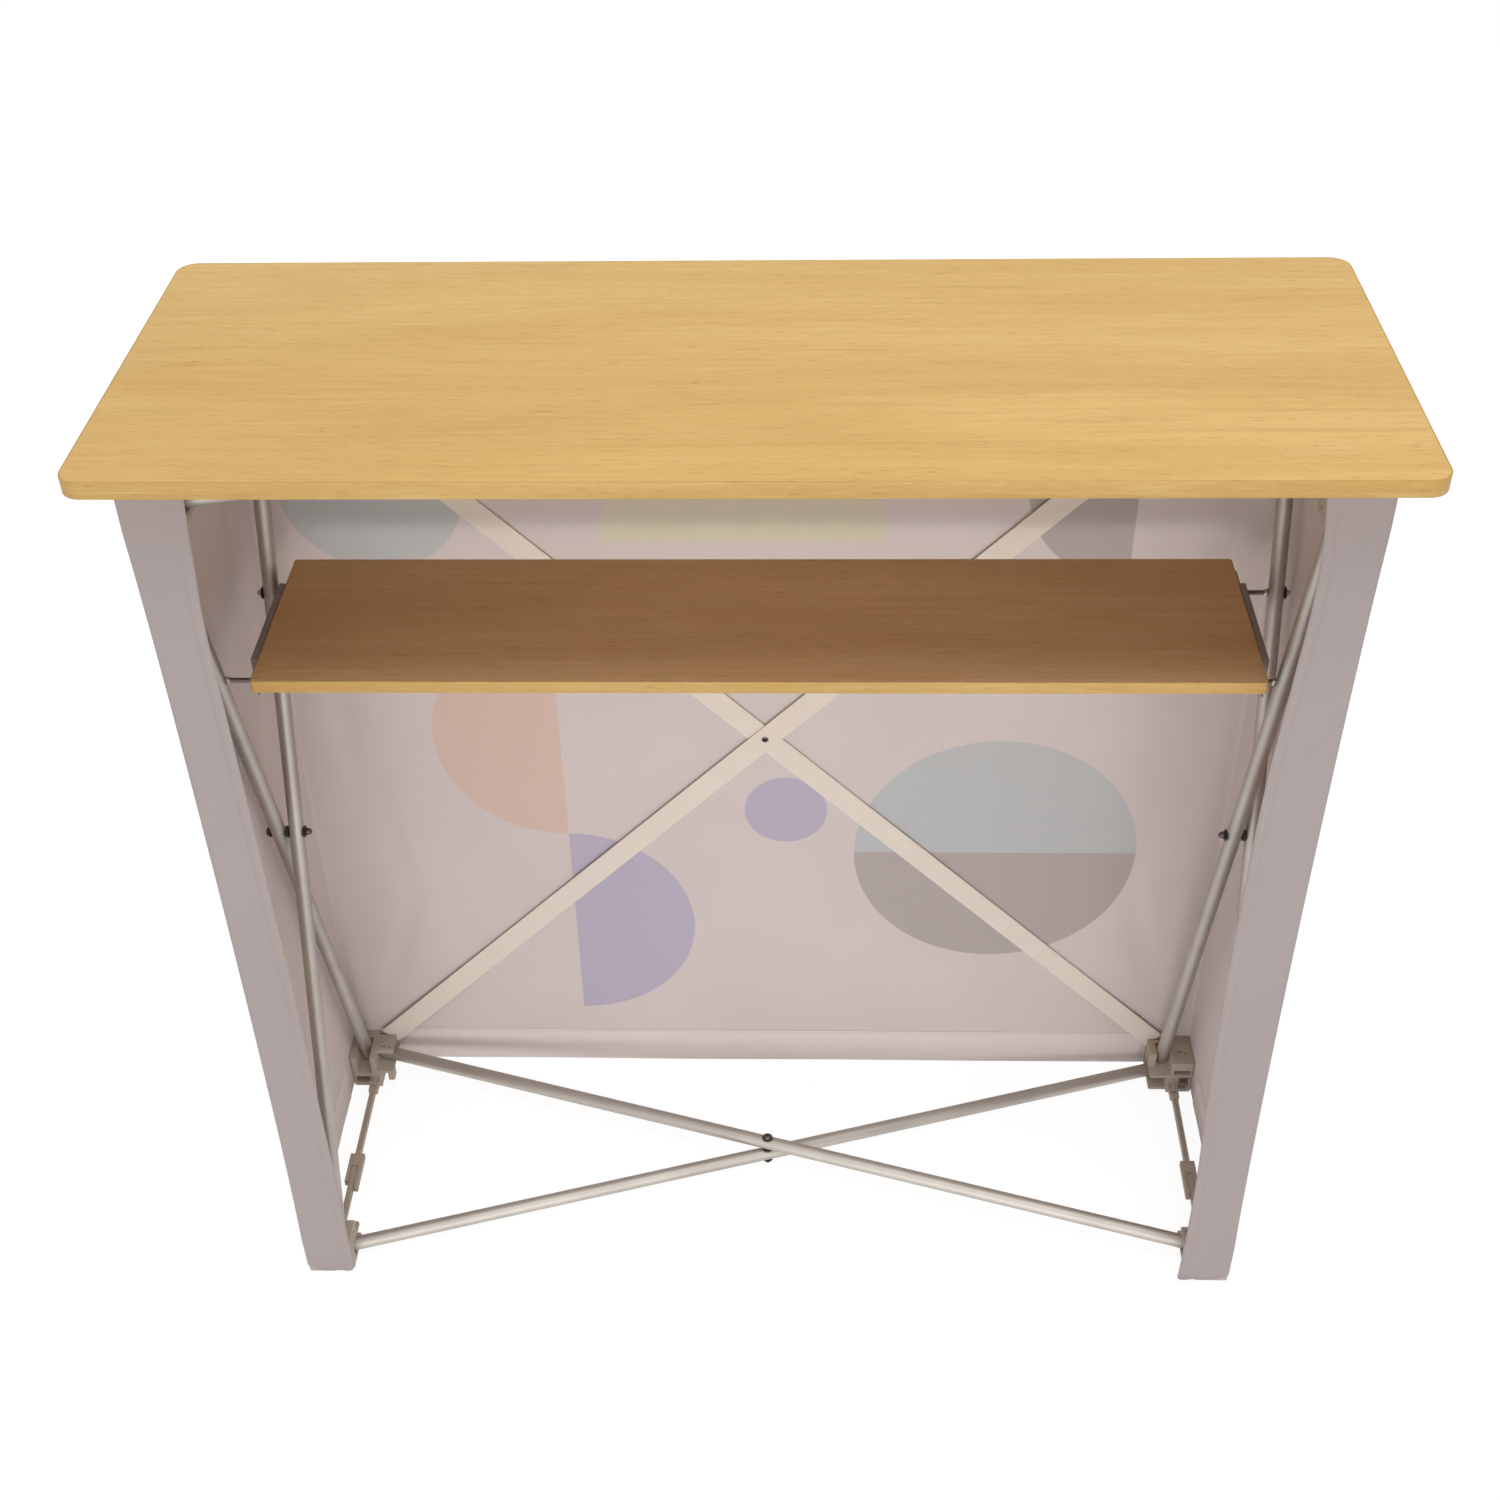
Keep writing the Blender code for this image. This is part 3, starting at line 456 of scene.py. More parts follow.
# Frame bars. Drawn aluminium tube of 15 mm, satin anodised. A grey plug closes each end, which
# reaches a little past the pin that the bar turns on, into the open channel of its hub.
TUBE_RADIUS = 7.5 * MM
TUBE_WALL = 1.2 * MM
TUBE_ARRIS = 0.3 * MM
PLUG_RECESS = 0.6 * MM
TUBE_SIDES = 40
TONGUE_RADIUS = 6.5 * MM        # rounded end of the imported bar, about its pivot
BAR_LENGTH = 952.5 * MM         # between the two pins of a bar
OUTER_BAR_PAST_PIN = 15 * MM
INNER_BAR_PAST_PIN = 8.5 * MM
LEVEL_BAR_PAST_PIN = 4 * MM
BAR_MIDDLE = 471 * MM           # between the inner and the outer side bars


def nodes_with(*texts):
    """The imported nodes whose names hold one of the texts, in order."""
    return sorted(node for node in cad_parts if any(text in node for text in texts))


def calculate(tree, operation, first, second):
    """The result of a math node."""
    return add_node(tree, "Math", {"operation": operation}, {0: first, 1: second}).outputs[0]


def anodised_tube():
    """Satin anodised aluminium: grey, with soft broad highlights and faint drawing lines."""
    line_width, line_run = 1.3 * MM, 160 * MM       # real drawing lines are about 0.2 mm wide
    material, tree, shader = start_material("aluminium, satin anodised", 0.58, 1.0)
    # the tube's own map runs from 0 to 1 round it, and over half the map along it
    lines = noise(tree, add_node(tree, "TexCoord").outputs["UV"],
                  (line_width / (2 * pi * TUBE_RADIUS), line_run / (2 * BAR_LENGTH), 1), 3.0)
    cloud = noise(tree, object_place(tree), 60 * MM, 2.0)
    share = remap(tree, calculate(tree, "ADD", lines, cloud), 0.7, 1.3)
    tree.links.new(blend(tree, share, "#B5AFA8", "#C6C0B9"), shader.inputs["Base Color"])
    vary_roughness(tree, shader, lines, 0.54, 0.62)
    return material


def moulded_nylon(name, dark, light, roughness):
    """Glass-filled nylon from a spark-eroded mould: matt, a little mottled, finely grained."""
    material, tree, shader, _ = two_tone(name, roughness, 0.0, 18 * MM, 3.0, dark, light)
    emboss(tree, shader, noise(tree, object_place(tree), 0.9 * MM, 2.0), 0.3, 0.06 * MM)
    return material


def bar_pivots(node, run, rise):
    """The two hub pivots of a bar, which lie one tongue radius inside its box."""
    low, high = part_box(node)
    middle = (low + high) / 2
    summit = max((vert.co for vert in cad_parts[node].data.vertices), key=lambda co: co[rise])
    lean = 1 if summit[run] > middle[run] else -1
    reach = Vector((0, 0, 0))
    reach[run] = lean * ((high[run] - low[run]) / 2 - TONGUE_RADIUS)
    reach[rise] = (high[rise] - low[rise]) / 2 - TONGUE_RADIUS
    return middle - reach, middle + reach


def plugged_tube(length):
    """A length of tube standing on the origin, with a plug set a little into each end."""
    tube = stand_rod("tube", length, TUBE_RADIUS, TUBE_SIDES)
    for end_z, inwards in ((0, 1), (length, -1)):
        pick(tube, "faces", lambda face: abs(face.calc_center_median().z - end_z) < NEAR)
        bpy.ops.mesh.inset(thickness=TUBE_WALL)
        bpy.ops.mesh.extrude_region_move(TRANSFORM_OT_translate={
            "value": (0, 0, inwards * PLUG_RECESS)})
        leave_edit()
    round_edges(tube, TUBE_ARRIS)
    return tube


hub_nylon = moulded_nylon("glass-filled nylon, grey-beige", "#A99B8D", "#B7AA9C", 0.55)
plug_nylon = moulded_nylon("nylon plug, grey", "#6B655E", "#7A746C", 0.6)
tube_finish = anodised_tube()
tubes = {}
for node in nodes_with("_bar_"):
    run, rise, past = 0, 1, LEVEL_BAR_PAST_PIN
    if node.startswith("side"):
        low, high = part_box(node)
        outer = abs(low.x + high.x) / 2 > BAR_MIDDLE
        run, rise, past = 1, 2, OUTER_BAR_PAST_PIN if outer else INNER_BAR_PAST_PIN
    start, finish = bar_pivots(node, run, rise)
    along = (finish - start).normalized()
    tube_start, tube_end = start - along * past, finish + along * past
    if past not in tubes:
        tubes[past] = plugged_tube((tube_end - tube_start).length)
    tube = copy_along(tubes[past], f"{node}_tube", tube_start, along)
    finish_piece(tube, tube_finish, "frame", "bar_aluminium", node)
    tube.data.materials.append(plug_nylon)
    for face in tube.data.polygons:
        away = min((Vector(face.center) - cap).length for cap in (tube_start, tube_end))
        if away < TUBE_RADIUS - TUBE_WALL and abs(face.normal.dot(along)) > cos(SMOOTH_ANGLE):
            face.material_index = 1
discard(*tubes.values())


# Corner hubs. Moulded nylon, with an open channel for each of its two bars. Below the channels the
# moulding is cored out to a cup with a square pocket, the root of the lock arm's lug and a prong.
HUB_ARRIS = 0.5 * MM
HUB_HALF = 25 * MM
HUB_FACE = 21.5 * MM            # pivot to the face under the cloth
HUB_BACK = 23.5 * MM            # pivot to the back face
HUB_SPIGOT_RISE = 8 * MM
HUB_RISE = 56 * MM
HUB_TRIM = 50 * MM              # the moulding ends here, past the channel of the side bar
HUB_LANE = 9 * MM
CHANNEL_HALF = 8 * MM
CHANNEL_DEEP = 10.5 * MM
SIDE_CHANNEL_FLOOR = {1: 22 * MM, -1: 30 * MM}  # by the hub's turn: its side bar outside or inside
LEVEL_LANE_RISE = 27 * MM
LEVEL_CHANNEL_END = -6 * MM
BLOCK_BACK = 11 * MM            # back of the block over the channel of the level bar
EAR_HALF = 9 * MM               # wall round the end of the pin
CUP_BACK = 21 * MM
POCKET_DEEP = 12 * MM
POCKET_SHARES = (0.35, 0.9)     # low and high end of the pocket, of the cup's height
NOTCH_RISE = 8 * MM             # cored notch in the back of the outer block
ROOT_HALF = 6 * MM
LUG_SHIFT = 2.5 * MM
PRONG_WIDTH = 7 * MM
PRONG_DEEP = 12 * MM
FLOOR_PLATE = 3.5 * MM          # plate under the channel of the level bar
SLOT_HALF = Vector((3.2, 1.3, 2.5)) * MM    # moulded slot in the inner end face
SLOT_PLACE = {1: -12.5 * MM, -1: 10 * MM}   # by the hub's turn
SLOT_MIDDLE = -4 * MM
EJECTOR_RADIUS = 1.4 * MM
EJECTOR_SIDES = 12
EJECTOR_SPREAD = 1.6            # its distance from the pivot over that of the slot
OVER = 1 * MM                   # how far a cut reaches past what it cuts


def shape_hub(node):
    """One corner hub, cut to its real shape. Its own axes run outwards in x and y, and inwards in z
    from its outer end face."""
    level = 1 if "_top_" in node else -1
    end = 1 if "_front_" in node else -1
    side = 1 if node.endswith("right") else -1
    turn = side * end * level
    low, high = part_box(node)
    middle_x = (low.x + high.x) / 2
    pivot_y = (high.y - HUB_FACE) if end > 0 else (low.y + HUB_FACE)
    outer_z = high.z - HUB_SPIGOT_RISE if level > 0 else low.z

    def spot(u, v, w):
        return Vector((middle_x + side * u, pivot_y + end * v, outer_z - level * w))

    def hollow(u_range, v_range, w_range):
        ends = [spot(u, v, w) for u, v, w in zip(u_range, v_range, w_range)]
        corners = zip(*(sorted(pair) for pair in zip(*ends)))
        cut_out(hub, add_block("hollow", *corners))

    hub = edged_copy(node, node.replace("hub_", "corner_hub_"))
    beyond = HUB_HALF + OVER
    top = HUB_RISE + OVER
    back, face = -HUB_BACK - OVER, HUB_FACE + OVER
    side_lane = turn * HUB_LANE
    level_lane = LEVEL_LANE_RISE + turn * HUB_LANE
    channel_low, channel_high = level_lane - CHANNEL_HALF, level_lane + CHANNEL_HALF
    side_floor = SIDE_CHANNEL_FLOOR[turn]
    root = -turn * LUG_SHIFT
    # the end of the moulding, then the channels of the side bar and of the level bar
    hollow((-beyond, beyond), (back, face), (HUB_TRIM, top))
    hollow((side_lane - CHANNEL_HALF, side_lane + CHANNEL_HALF), (back, CHANNEL_DEEP),
           (side_floor, top))
    hollow((-beyond, LEVEL_CHANNEL_END), (back, CHANNEL_DEEP), (channel_low, channel_high))
    # the step over the channel of the level bar, and the notch in the outer block
    wall = min(LEVEL_CHANNEL_END, side_lane - CHANNEL_HALF)
    if turn > 0:
        hollow((-beyond, wall), (back, -BLOCK_BACK), (channel_high - OVER, HUB_TRIM + OVER))
    else:
        hollow((-beyond, wall), (back, -EAR_HALF), (channel_high + FLOOR_PLATE, HUB_TRIM + OVER))
        hollow((side_lane + CHANNEL_HALF + FLOOR_PLATE, HUB_HALF - FLOOR_PLATE),
               (back, -CUP_BACK / 2), (side_floor + OVER, side_floor + NOTCH_RISE))
    # the room under that channel, beside the root of the lug, with the prong left standing
    under = channel_low - FLOOR_PLATE
    prong_back = (back, -PRONG_DEEP + OVER)
    hollow((-beyond, root - ROOT_HALF), (-PRONG_DEEP, face), (-OVER, under))
    if under > PRONG_DEEP:
        hollow((PRONG_WIDTH - HUB_HALF, root - ROOT_HALF), prong_back, (-OVER, under))
        hollow((-beyond, PRONG_WIDTH - HUB_HALF + OVER), prong_back, (-OVER, under - PRONG_DEEP))
    else:
        hollow((-beyond, root - ROOT_HALF), prong_back, (-OVER, under))
    # the back of the cup and its pocket
    cup_top = side_floor - FLOOR_PLATE
    hollow((root + ROOT_HALF, beyond), (back, -CUP_BACK), (-OVER, cup_top))
    hollow((root + ROOT_HALF + FLOOR_PLATE / 2, HUB_HALF - FLOOR_PLATE),
           (-CUP_BACK - OVER, POCKET_DEEP - CUP_BACK), [cup_top * share for share in POCKET_SHARES])
    # the moulded slot and the mark of the ejector in the inner end face
    slot = Vector((SLOT_PLACE[turn], SLOT_MIDDLE, HUB_TRIM))
    hollow((slot.x - SLOT_HALF.x, slot.x + SLOT_HALF.x), (slot.y - SLOT_HALF.y, slot.y + SLOT_HALF.y),
           (HUB_TRIM - SLOT_HALF.z, HUB_TRIM + OVER))
    mark = spot(slot.x * EJECTOR_SPREAD, SLOT_MIDDLE - EJECTOR_RADIUS, HUB_TRIM)
    drop = Vector((0, 0, SLOT_HALF.z))
    cut_out(hub, add_rod("ejector mark", mark - drop, mark + drop, EJECTOR_RADIUS, EJECTOR_SIDES))
    round_edges(hub, HUB_ARRIS, angle=MOULDED_EDGE)
    return finish_piece(hub, hub_nylon, "frame", "hub_nylon", node)


for node in nodes_with("hub_base", "hub_top"):
    shape_hub(node)


# Lock arms. Moulded nylon levers, hinged on the front hubs; the fork clips over the finger of the
# rear hub. A shallow groove lightens the top and bottom of each arm.
ARM_ARRIS = 0.7 * MM
ARM_HALF_HEIGHT = 4 * MM
GROOVE_WIDTH = 2.6 * MM
GROOVE_DEPTH = 1.1 * MM
GROOVE_START = 20 * MM          # front end of the arm to the groove
GROOVE_END = 56 * MM            # tip of the fork to the groove
FORK_WEB = (31 * MM, 44 * MM)   # from the tip of the fork: closes its slot behind the finger
FORK_WEB_HALF = 3.4 * MM
FORK_WEB_INSET = 1 * MM         # of its top and bottom from those of the arm

for node in nodes_with("lock_arm"):
    arm = edged_copy(node, node.replace("lock_arm", "lever"))
    low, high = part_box(node)
    middle = (low + high) / 2
    for way in (-1, 1):
        face_z = middle.z + way * ARM_HALF_HEIGHT
        reach = Vector((GROOVE_WIDTH / 2, 0, GROOVE_DEPTH))
        near = Vector((middle.x, low.y + GROOVE_END, face_z)) - reach
        far = Vector((middle.x, high.y - GROOVE_START, face_z)) + reach
        cut_out(arm, add_block("groove", near, far))
    join_up(arm, add_block(
        "web", (middle.x - FORK_WEB_HALF, low.y + FORK_WEB[0], low.z + FORK_WEB_INSET),
        (middle.x + FORK_WEB_HALF, low.y + FORK_WEB[1], high.z - FORK_WEB_INSET)))
    round_edges(arm, ARM_ARRIS, angle=MOULDED_EDGE)
    finish_piece(arm, hub_nylon, node, "hub_nylon", node)


# Crossing bolts. A button-head bolt with a hexagon socket, black nylon washers outside and between
# the bars, and a domed cap nut. The steel is blackened.
WASHER_RADIUS = 6 * MM
WASHER_THICKNESS = 1.5 * MM
WASHER_ARRIS = 0.4 * MM
TURNED_SIDES = 32
BOLT_HEAD_RADIUS = 4.5 * MM
BOLT_HEAD_HEIGHT = 3 * MM
BOLT_HEAD_ROUNDING = 2.25 * MM
SOCKET_HEX_RADIUS = 1.7 * MM
SOCKET_HEX_DEPTH = 1.8 * MM
HEXAGON = 6
HEXAGON_ARRIS_SHARE = 1 / 8     # of the height of a nut or collar
NUT_RADIUS = 4 * MM
NUT_HEX_HEIGHT = 3.2 * MM
NUT_DOME_RADIUS = 3.3 * MM
BAR_PITCH = 18 * MM             # between the middle planes of two crossed bars
STACK = BAR_PITCH / 2 + TUBE_RADIUS


def blackened_steel(name, dark, light):
    """Oil-blackened steel: dark grey-brown metal that drifts between two tones in small blotches."""
    return two_tone(name, 0.42, 1.0, 1.5 * MM, 3.0, dark, light)[0]


def turned_washer(thickness):
    """A washer standing on the origin."""
    washer = stand_rod("washer", thickness, WASHER_RADIUS, TURNED_SIDES)
    round_edges(washer, WASHER_ARRIS)
    return washer


def hexagon(name, height):
    """A hexagon nut or collar standing on the origin."""
    made = stand_rod(name, height, NUT_RADIUS, HEXAGON)
    round_edges(made, height * HEXAGON_ARRIS_SHARE, 1)
    return made


def cap_nut(hex_height, dome_radius):
    """A hexagon nut with a domed cap, standing on the origin."""
    nut = hexagon("cap nut", hex_height)
    select_only()
    bpy.ops.mesh.primitive_uv_sphere_add(segments=24, ring_count=14, radius=dome_radius,
                                         location=(0, 0, hex_height))
    join_up(nut, settle("dome"))
    return nut


black_nylon = moulded_nylon("nylon, black", "#1C1B1B", "#2A2928", 0.5)
bolt_steel = blackened_steel("blackened steel", "#544A4B", "#7D7271")
spacer_low, spacer_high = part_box("base_cross_spacer")
spacer_thickness = spacer_high.z - spacer_low.z
spacer_washer = turned_washer(spacer_thickness)
bolt_washer = turned_washer(WASHER_THICKNESS)
button_head = stand_rod("button head", BOLT_HEAD_HEIGHT, BOLT_HEAD_RADIUS, TURNED_SIDES)
pick(button_head, "edges", lambda edge: all(vert.co.z > BOLT_HEAD_HEIGHT - NEAR
                                            for vert in edge.verts))
bpy.ops.mesh.bevel(offset=BOLT_HEAD_ROUNDING, segments=6, affect="EDGES")
leave_edit()
cut_out(button_head, add_rod("socket", (0, 0, BOLT_HEAD_HEIGHT - SOCKET_HEX_DEPTH),
                             (0, 0, BOLT_HEAD_HEIGHT * 2), SOCKET_HEX_RADIUS, HEXAGON))
crossing_nut = cap_nut(NUT_HEX_HEIGHT, NUT_DOME_RADIUS)
for name, axis in (("side_cross_left", (-1, 0, 0)), ("side_cross_right", (1, 0, 0)),
                   ("base_cross", (0, 0, 1)), ("top_cross", (0, 0, -1))):
    axis = Vector(axis)
    low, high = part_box(f"{name}_spacer")
    middle = (low + high) / 2
    spacer = copy_along(spacer_washer, f"{name}_spacer_washer",
                        middle - axis * spacer_thickness / 2, axis)
    finish_piece(spacer, black_nylon, "frame", "spacer_nylon", f"{name}_spacer")
    for place, way, cap, replaced in (("head", axis, button_head, f"{name}_bolt"),
                                      ("nut", -axis, crossing_nut, f"{name}_nut")):
        washer = copy_along(bolt_washer, f"{name}_{place}_washer", middle + way * STACK, way)
        finish_piece(washer, black_nylon, "frame", "spacer_nylon")
        fastener = copy_along(cap, f"{name}_{place}_fastener",
                              middle + way * (STACK + WASHER_THICKNESS), way)
        finish_piece(fastener, bolt_steel, "frame", "fastener_steel", replaced)
discard(spacer_washer, bolt_washer, button_head, crossing_nut)


# Shelf pins. Blackened studs through the side bars, with a plated hexagon collar inside, a black
# washer and a plated cap nut outside, and a thread that ends just past the bracket.
STUD_RADIUS = 2.6 * MM
STUD_SIDES = 16
THREAD_PITCH = 1.6 * MM         # a real thread of this size has 0.7 mm
THREAD_ROOT = 0.84              # share of the stud's radius
STUD_COLLAR_HEIGHT = 4 * MM
STUD_WASHER_THICKNESS = 1.2 * MM
STUD_NUT_HEX = 1.6 * MM
STUD_NUT_DOME = 3 * MM


def face_outwards(piece):
    """Turns every face of a piece outwards."""
    pick(piece, "faces")
    bpy.ops.mesh.normals_make_consistent(inside=False)
    leave_edit()


def threaded_stud(length):
    """A thread standing on the origin, drawn up ring by ring."""
    select_only()
    bpy.ops.mesh.primitive_circle_add(vertices=STUD_SIDES, radius=STUD_RADIUS, fill_type="NGON")
    stud = bpy.context.object
    turns = int(length / THREAD_PITCH)
    step = length / turns / 2
    pick(stud, "faces")
    for ring in range(2 * turns):
        size = 1 / THREAD_ROOT if ring % 2 else THREAD_ROOT
        bpy.ops.mesh.extrude_region_move(TRANSFORM_OT_translate={"value": (0, 0, step)})
        bpy.ops.transform.resize(value=(size, size, 1), center_override=(0, 0, step * (ring + 1)))
    face_outwards(stud)
    return stud


stud_steel = blackened_steel("blackened steel, threaded", "#695F61", "#9C9292")
stud_collar = hexagon("collar", STUD_COLLAR_HEIGHT)
stud_washer = turned_washer(STUD_WASHER_THICKNESS)
stud_nut = cap_nut(STUD_NUT_HEX, STUD_NUT_DOME)
studs = {}
for node in nodes_with("shelf_pin_"):
    low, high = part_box(node)
    inwards = Vector((1, 0, 0)) if node.endswith("left") else Vector((-1, 0, 0))
    tip = Vector((high.x if inwards.x > 0 else low.x, (low.y + high.y) / 2, (low.z + high.z) / 2))
    nut_node = node.replace("pin", "nut")
    nut_low, nut_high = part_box(nut_node)
    outer_face = Vector((nut_high.x if inwards.x > 0 else nut_low.x, tip.y, tip.z))
    inner_face = outer_face + inwards * 2 * TUBE_RADIUS
    collar_end = inner_face + inwards * STUD_COLLAR_HEIGHT
    nut_foot = outer_face - inwards * STUD_WASHER_THICKNESS
    length = (tip - collar_end).length
    key = round(length / MM)
    if key not in studs:
        studs[key] = threaded_stud(length)
    for template, name, foot, axis, material, slot, replaced in (
            (studs[key], "stud", collar_end, inwards, stud_steel, "fastener_steel", [node]),
            (stud_collar, "stud_collar", inner_face, inwards, zinc, "fastener_steel", []),
            (stud_washer, "stud_washer", outer_face, -inwards, black_nylon, "spacer_nylon", []),
            (stud_nut, "stud_nut", nut_foot, -inwards, zinc, "fastener_steel", [nut_node])):
        piece = copy_along(template, f"{name}_{node.removeprefix('shelf_pin_')}", foot, axis)
        finish_piece(piece, material, "frame", slot, *replaced)
discard(stud_collar, stud_washer, stud_nut, *studs.values())


# Hub pins. Turned steel pins, zinc plated and pressed into the hubs, one through each end of each
# side bar. Only their ends show.
PIN_ARRIS = 0.3 * MM

for node in nodes_with("hub_pin_"):
    pin = edged_copy(node, node.replace("hub_pin", "pivot_pin"), PIN_ARRIS)
    finish_piece(pin, zinc, "frame", "fastener_steel", node)


# Cloth. One length of printed polyester stretch knit, wrapped round the front and both ends and
# turned in along the rear. It is pulled taut between the hubs, so its corners draw in a little at
# half height, and small creases run from the hubs over the front.
CLOTH_THICKNESS = 0.6 * MM
CLOTH_LOW = 4 * MM
CLOTH_HIGH = 997.2 * MM
CORNER_DRAW = Vector((2.5, 3.6)) * MM   # how far a corner draws in at half height, in x and y
CORNER_RADIUS = (2.5 * MM, 6 * MM)      # at the hubs and at half height
CLOTH_CORNER_STEPS = 5
# heights above the floor and the width of the strip along the rear there, left and right
RETURN_WIDTHS = {
    -1: ((0, 52), (150, 51), (300, 50), (450, 50), (600, 48.5), (750, 47.5), (860, 48), (930, 53),
         (1000, 58)),
    1: ((0, 55), (150, 52.5), (300, 56), (450, 58), (600, 58), (700, 56.5), (800, 51.5),
        (900, 48.5), (1000, 57)),
}
RETURN_COLUMNS = 16
PANEL_PITCH = 8 * MM
# creases of the front panel, in metres from its middle and above the floor, as seen from outside
FRONT_CREASES = (
    ((-0.466, 0.74), (-0.438, 0.60), 0.009, 4.0 * MM),
    ((-0.444, 0.63), (-0.436, 0.36), 0.010, 3.6 * MM),
    ((-0.430, 0.50), (-0.395, 0.24), 0.011, 2.6 * MM),
    ((-0.46, 0.90), (-0.33, 0.58), 0.014, 2.6 * MM),
    ((-0.45, 0.07), (-0.28, 0.15), 0.011, 3.2 * MM),
    ((-0.45, 0.09), (-0.39, 0.30), 0.010, 2.8 * MM),
    ((0.460, 0.84), (0.442, 0.50), 0.009, 3.4 * MM),
    ((0.46, 0.90), (0.35, 0.62), 0.014, 2.4 * MM),
    ((0.45, 0.09), (0.39, 0.34), 0.011, 2.8 * MM),
    ((0.45, 0.07), (0.27, 0.14), 0.011, 2.8 * MM),
    ((-0.10, 0.93), (-0.16, 0.60), 0.012, 0.8 * MM),
    ((0.14, 0.30), (0.19, 0.62), 0.014, 0.8 * MM),
)
RIPPLE = (0.4 * MM, 0.35 * MM)  # half height of the waves of an end and of the front
STILL = (10 * MM, 15 * MM)      # an end and the front lie flat this near to a corner
WAKE = (30 * MM, 40 * MM)       # and from there their relief grows over this width
BOLT_TENT = 1.5 * MM            # how far the bolt head at the crossing holds the end panel out
BOLT_TENT_WIDTH = 60 * MM
CORNER_CUT = 7 * MM             # how far the lower hem rises at the four corners
CORNER_CUT_WIDTH = 9 * MM
FREE_CORNER = {-1: 9 * MM, 1: 3 * MM}   # radius of the lower corner at each free edge
LIFT_FADE = 30                  # power by which the rise of the lower edge dies away upwards
RETURN_HEM = 14 * MM            # turned-in hem along each free edge
RETURN_HEM_RISE = 0.9 * MM
RETURN_HEM_SLOPE = 5 * MM

front_low, front_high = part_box("cloth_front")
half_width = front_high.x - CLOTH_THICKNESS
half_depth = front_low.y + CLOTH_THICKNESS
middle_z = (CLOTH_LOW + CLOTH_HIGH) / 2
free_half = middle_z - HUB_RISE


def draw_share(z):
    """0 at the hubs, 1 at half height, in x and in y. The bands hold the front in sooner."""
    reach = min(1, abs(z - middle_z) / free_half)
    return 1 - reach ** 2, 1 - reach ** 6


def return_width(side, z):
    """Width of the strip along the rear at a height, on a smooth line through its known widths."""
    knots = RETURN_WIDTHS[side]
    height = z / MM
    spot = next(i for i in range(len(knots) - 1) if height <= knots[i + 1][0])
    (z0, w0), (z1, w1) = knots[spot], knots[spot + 1]
    before = knots[max(spot - 1, 0)]
    after = knots[min(spot + 2, len(knots) - 1)]
    slope0 = (w1 - before[1]) / (z1 - before[0])
    slope1 = (after[1] - w0) / (after[0] - z0)
    t = (height - z0) / (z1 - z0)
    span = z1 - z0
    return ((2 * t ** 3 - 3 * t ** 2 + 1) * w0 + (t ** 3 - 2 * t ** 2 + t) * span * slope0
            + (3 * t ** 2 - 2 * t ** 3) * w1 + (t ** 3 - t ** 2) * span * slope1) * MM


def section(z):
    """Points of the cloth's line at one height, from the left free edge round to the right one."""
    share_x, share_y = draw_share(z)
    half_x = half_width - CORNER_DRAW.x * share_x
    half_y = half_depth - CORNER_DRAW.y * share_y
    radius = CORNER_RADIUS[0] + (CORNER_RADIUS[1] - CORNER_RADIUS[0]) * share_x
    end_columns = round(2 * half_depth / PANEL_PITCH)
    front_columns = round(2 * half_width / PANEL_PITCH)
    start = Vector((return_width(-1, z) - half_x, -half_y))
    points = []
    for way_x, way_y, first_turn, columns in (
            (-1, -1, pi * 3 / 2, RETURN_COLUMNS), (-1, 1, pi, end_columns),
            (1, 1, pi / 2, front_columns), (1, -1, 0, end_columns)):
        middle = Vector((way_x * (half_x - radius), way_y * (half_y - radius)))
        turns = [first_turn - pi / 2 * step / CLOTH_CORNER_STEPS
                 for step in range(CLOTH_CORNER_STEPS + 1)]
        curve = [middle + Vector((cos(turn), sin(turn))) * radius for turn in turns]
        points += [start.lerp(curve[0], step / columns) for step in range(columns)] + curve[:-1]
        start = curve[-1]
    end = Vector((half_x - return_width(1, z), -half_y))
    return points + [start.lerp(end, step / RETURN_COLUMNS) for step in range(RETURN_COLUMNS + 1)]


def crease(point, start, end, width, height):
    """A soft ridge along a line between two points of a flat panel."""
    along = end - start
    share = max(0, min(1, (point - start).dot(along) / along.length_squared))
    off = (point - start - along * share).length
    fade = sin(pi * share) if 0 < share < 1 else 0
    return height * fade * exp(-(off / width) ** 2)


def relief(x, y, z):
    """How far the cloth stands out of its plain section, with the direction."""
    push = Vector((0, 0))
    inner_x = half_width - CORNER_DRAW.x - CORNER_RADIUS[1] / 2
    inner_y = half_depth - CORNER_DRAW.y - CORNER_RADIUS[1] / 2
    from_side, from_end = half_width - STILL[1] - abs(x), half_depth - STILL[0] - abs(y)
    if y > inner_y and from_side > 0:
        fade = min(1, from_side / WAKE[1])
        ripple = RIPPLE[1] * (1 + sin(x * 17 + 2.1 * sin(z * 6)) * cos(z * 9 + x * 3)) * fade
        ridge = sum(crease(Vector((x, z)), Vector(a), Vector(b), w, h) for a, b, w, h in FRONT_CREASES)
        push.y = ripple + ridge * fade
    elif abs(x) > inner_x and from_end > 0:
        away = sqrt(y * y + (z - middle_z) ** 2) / BOLT_TENT_WIDTH
        ripple = RIPPLE[0] * (1 + sin(y * 40 + z * 7) * cos(z * 11)) * min(1, from_end / WAKE[0])
        push.x = (BOLT_TENT * exp(-away * away) + ripple) * (1 if x > 0 else -1)
    return push


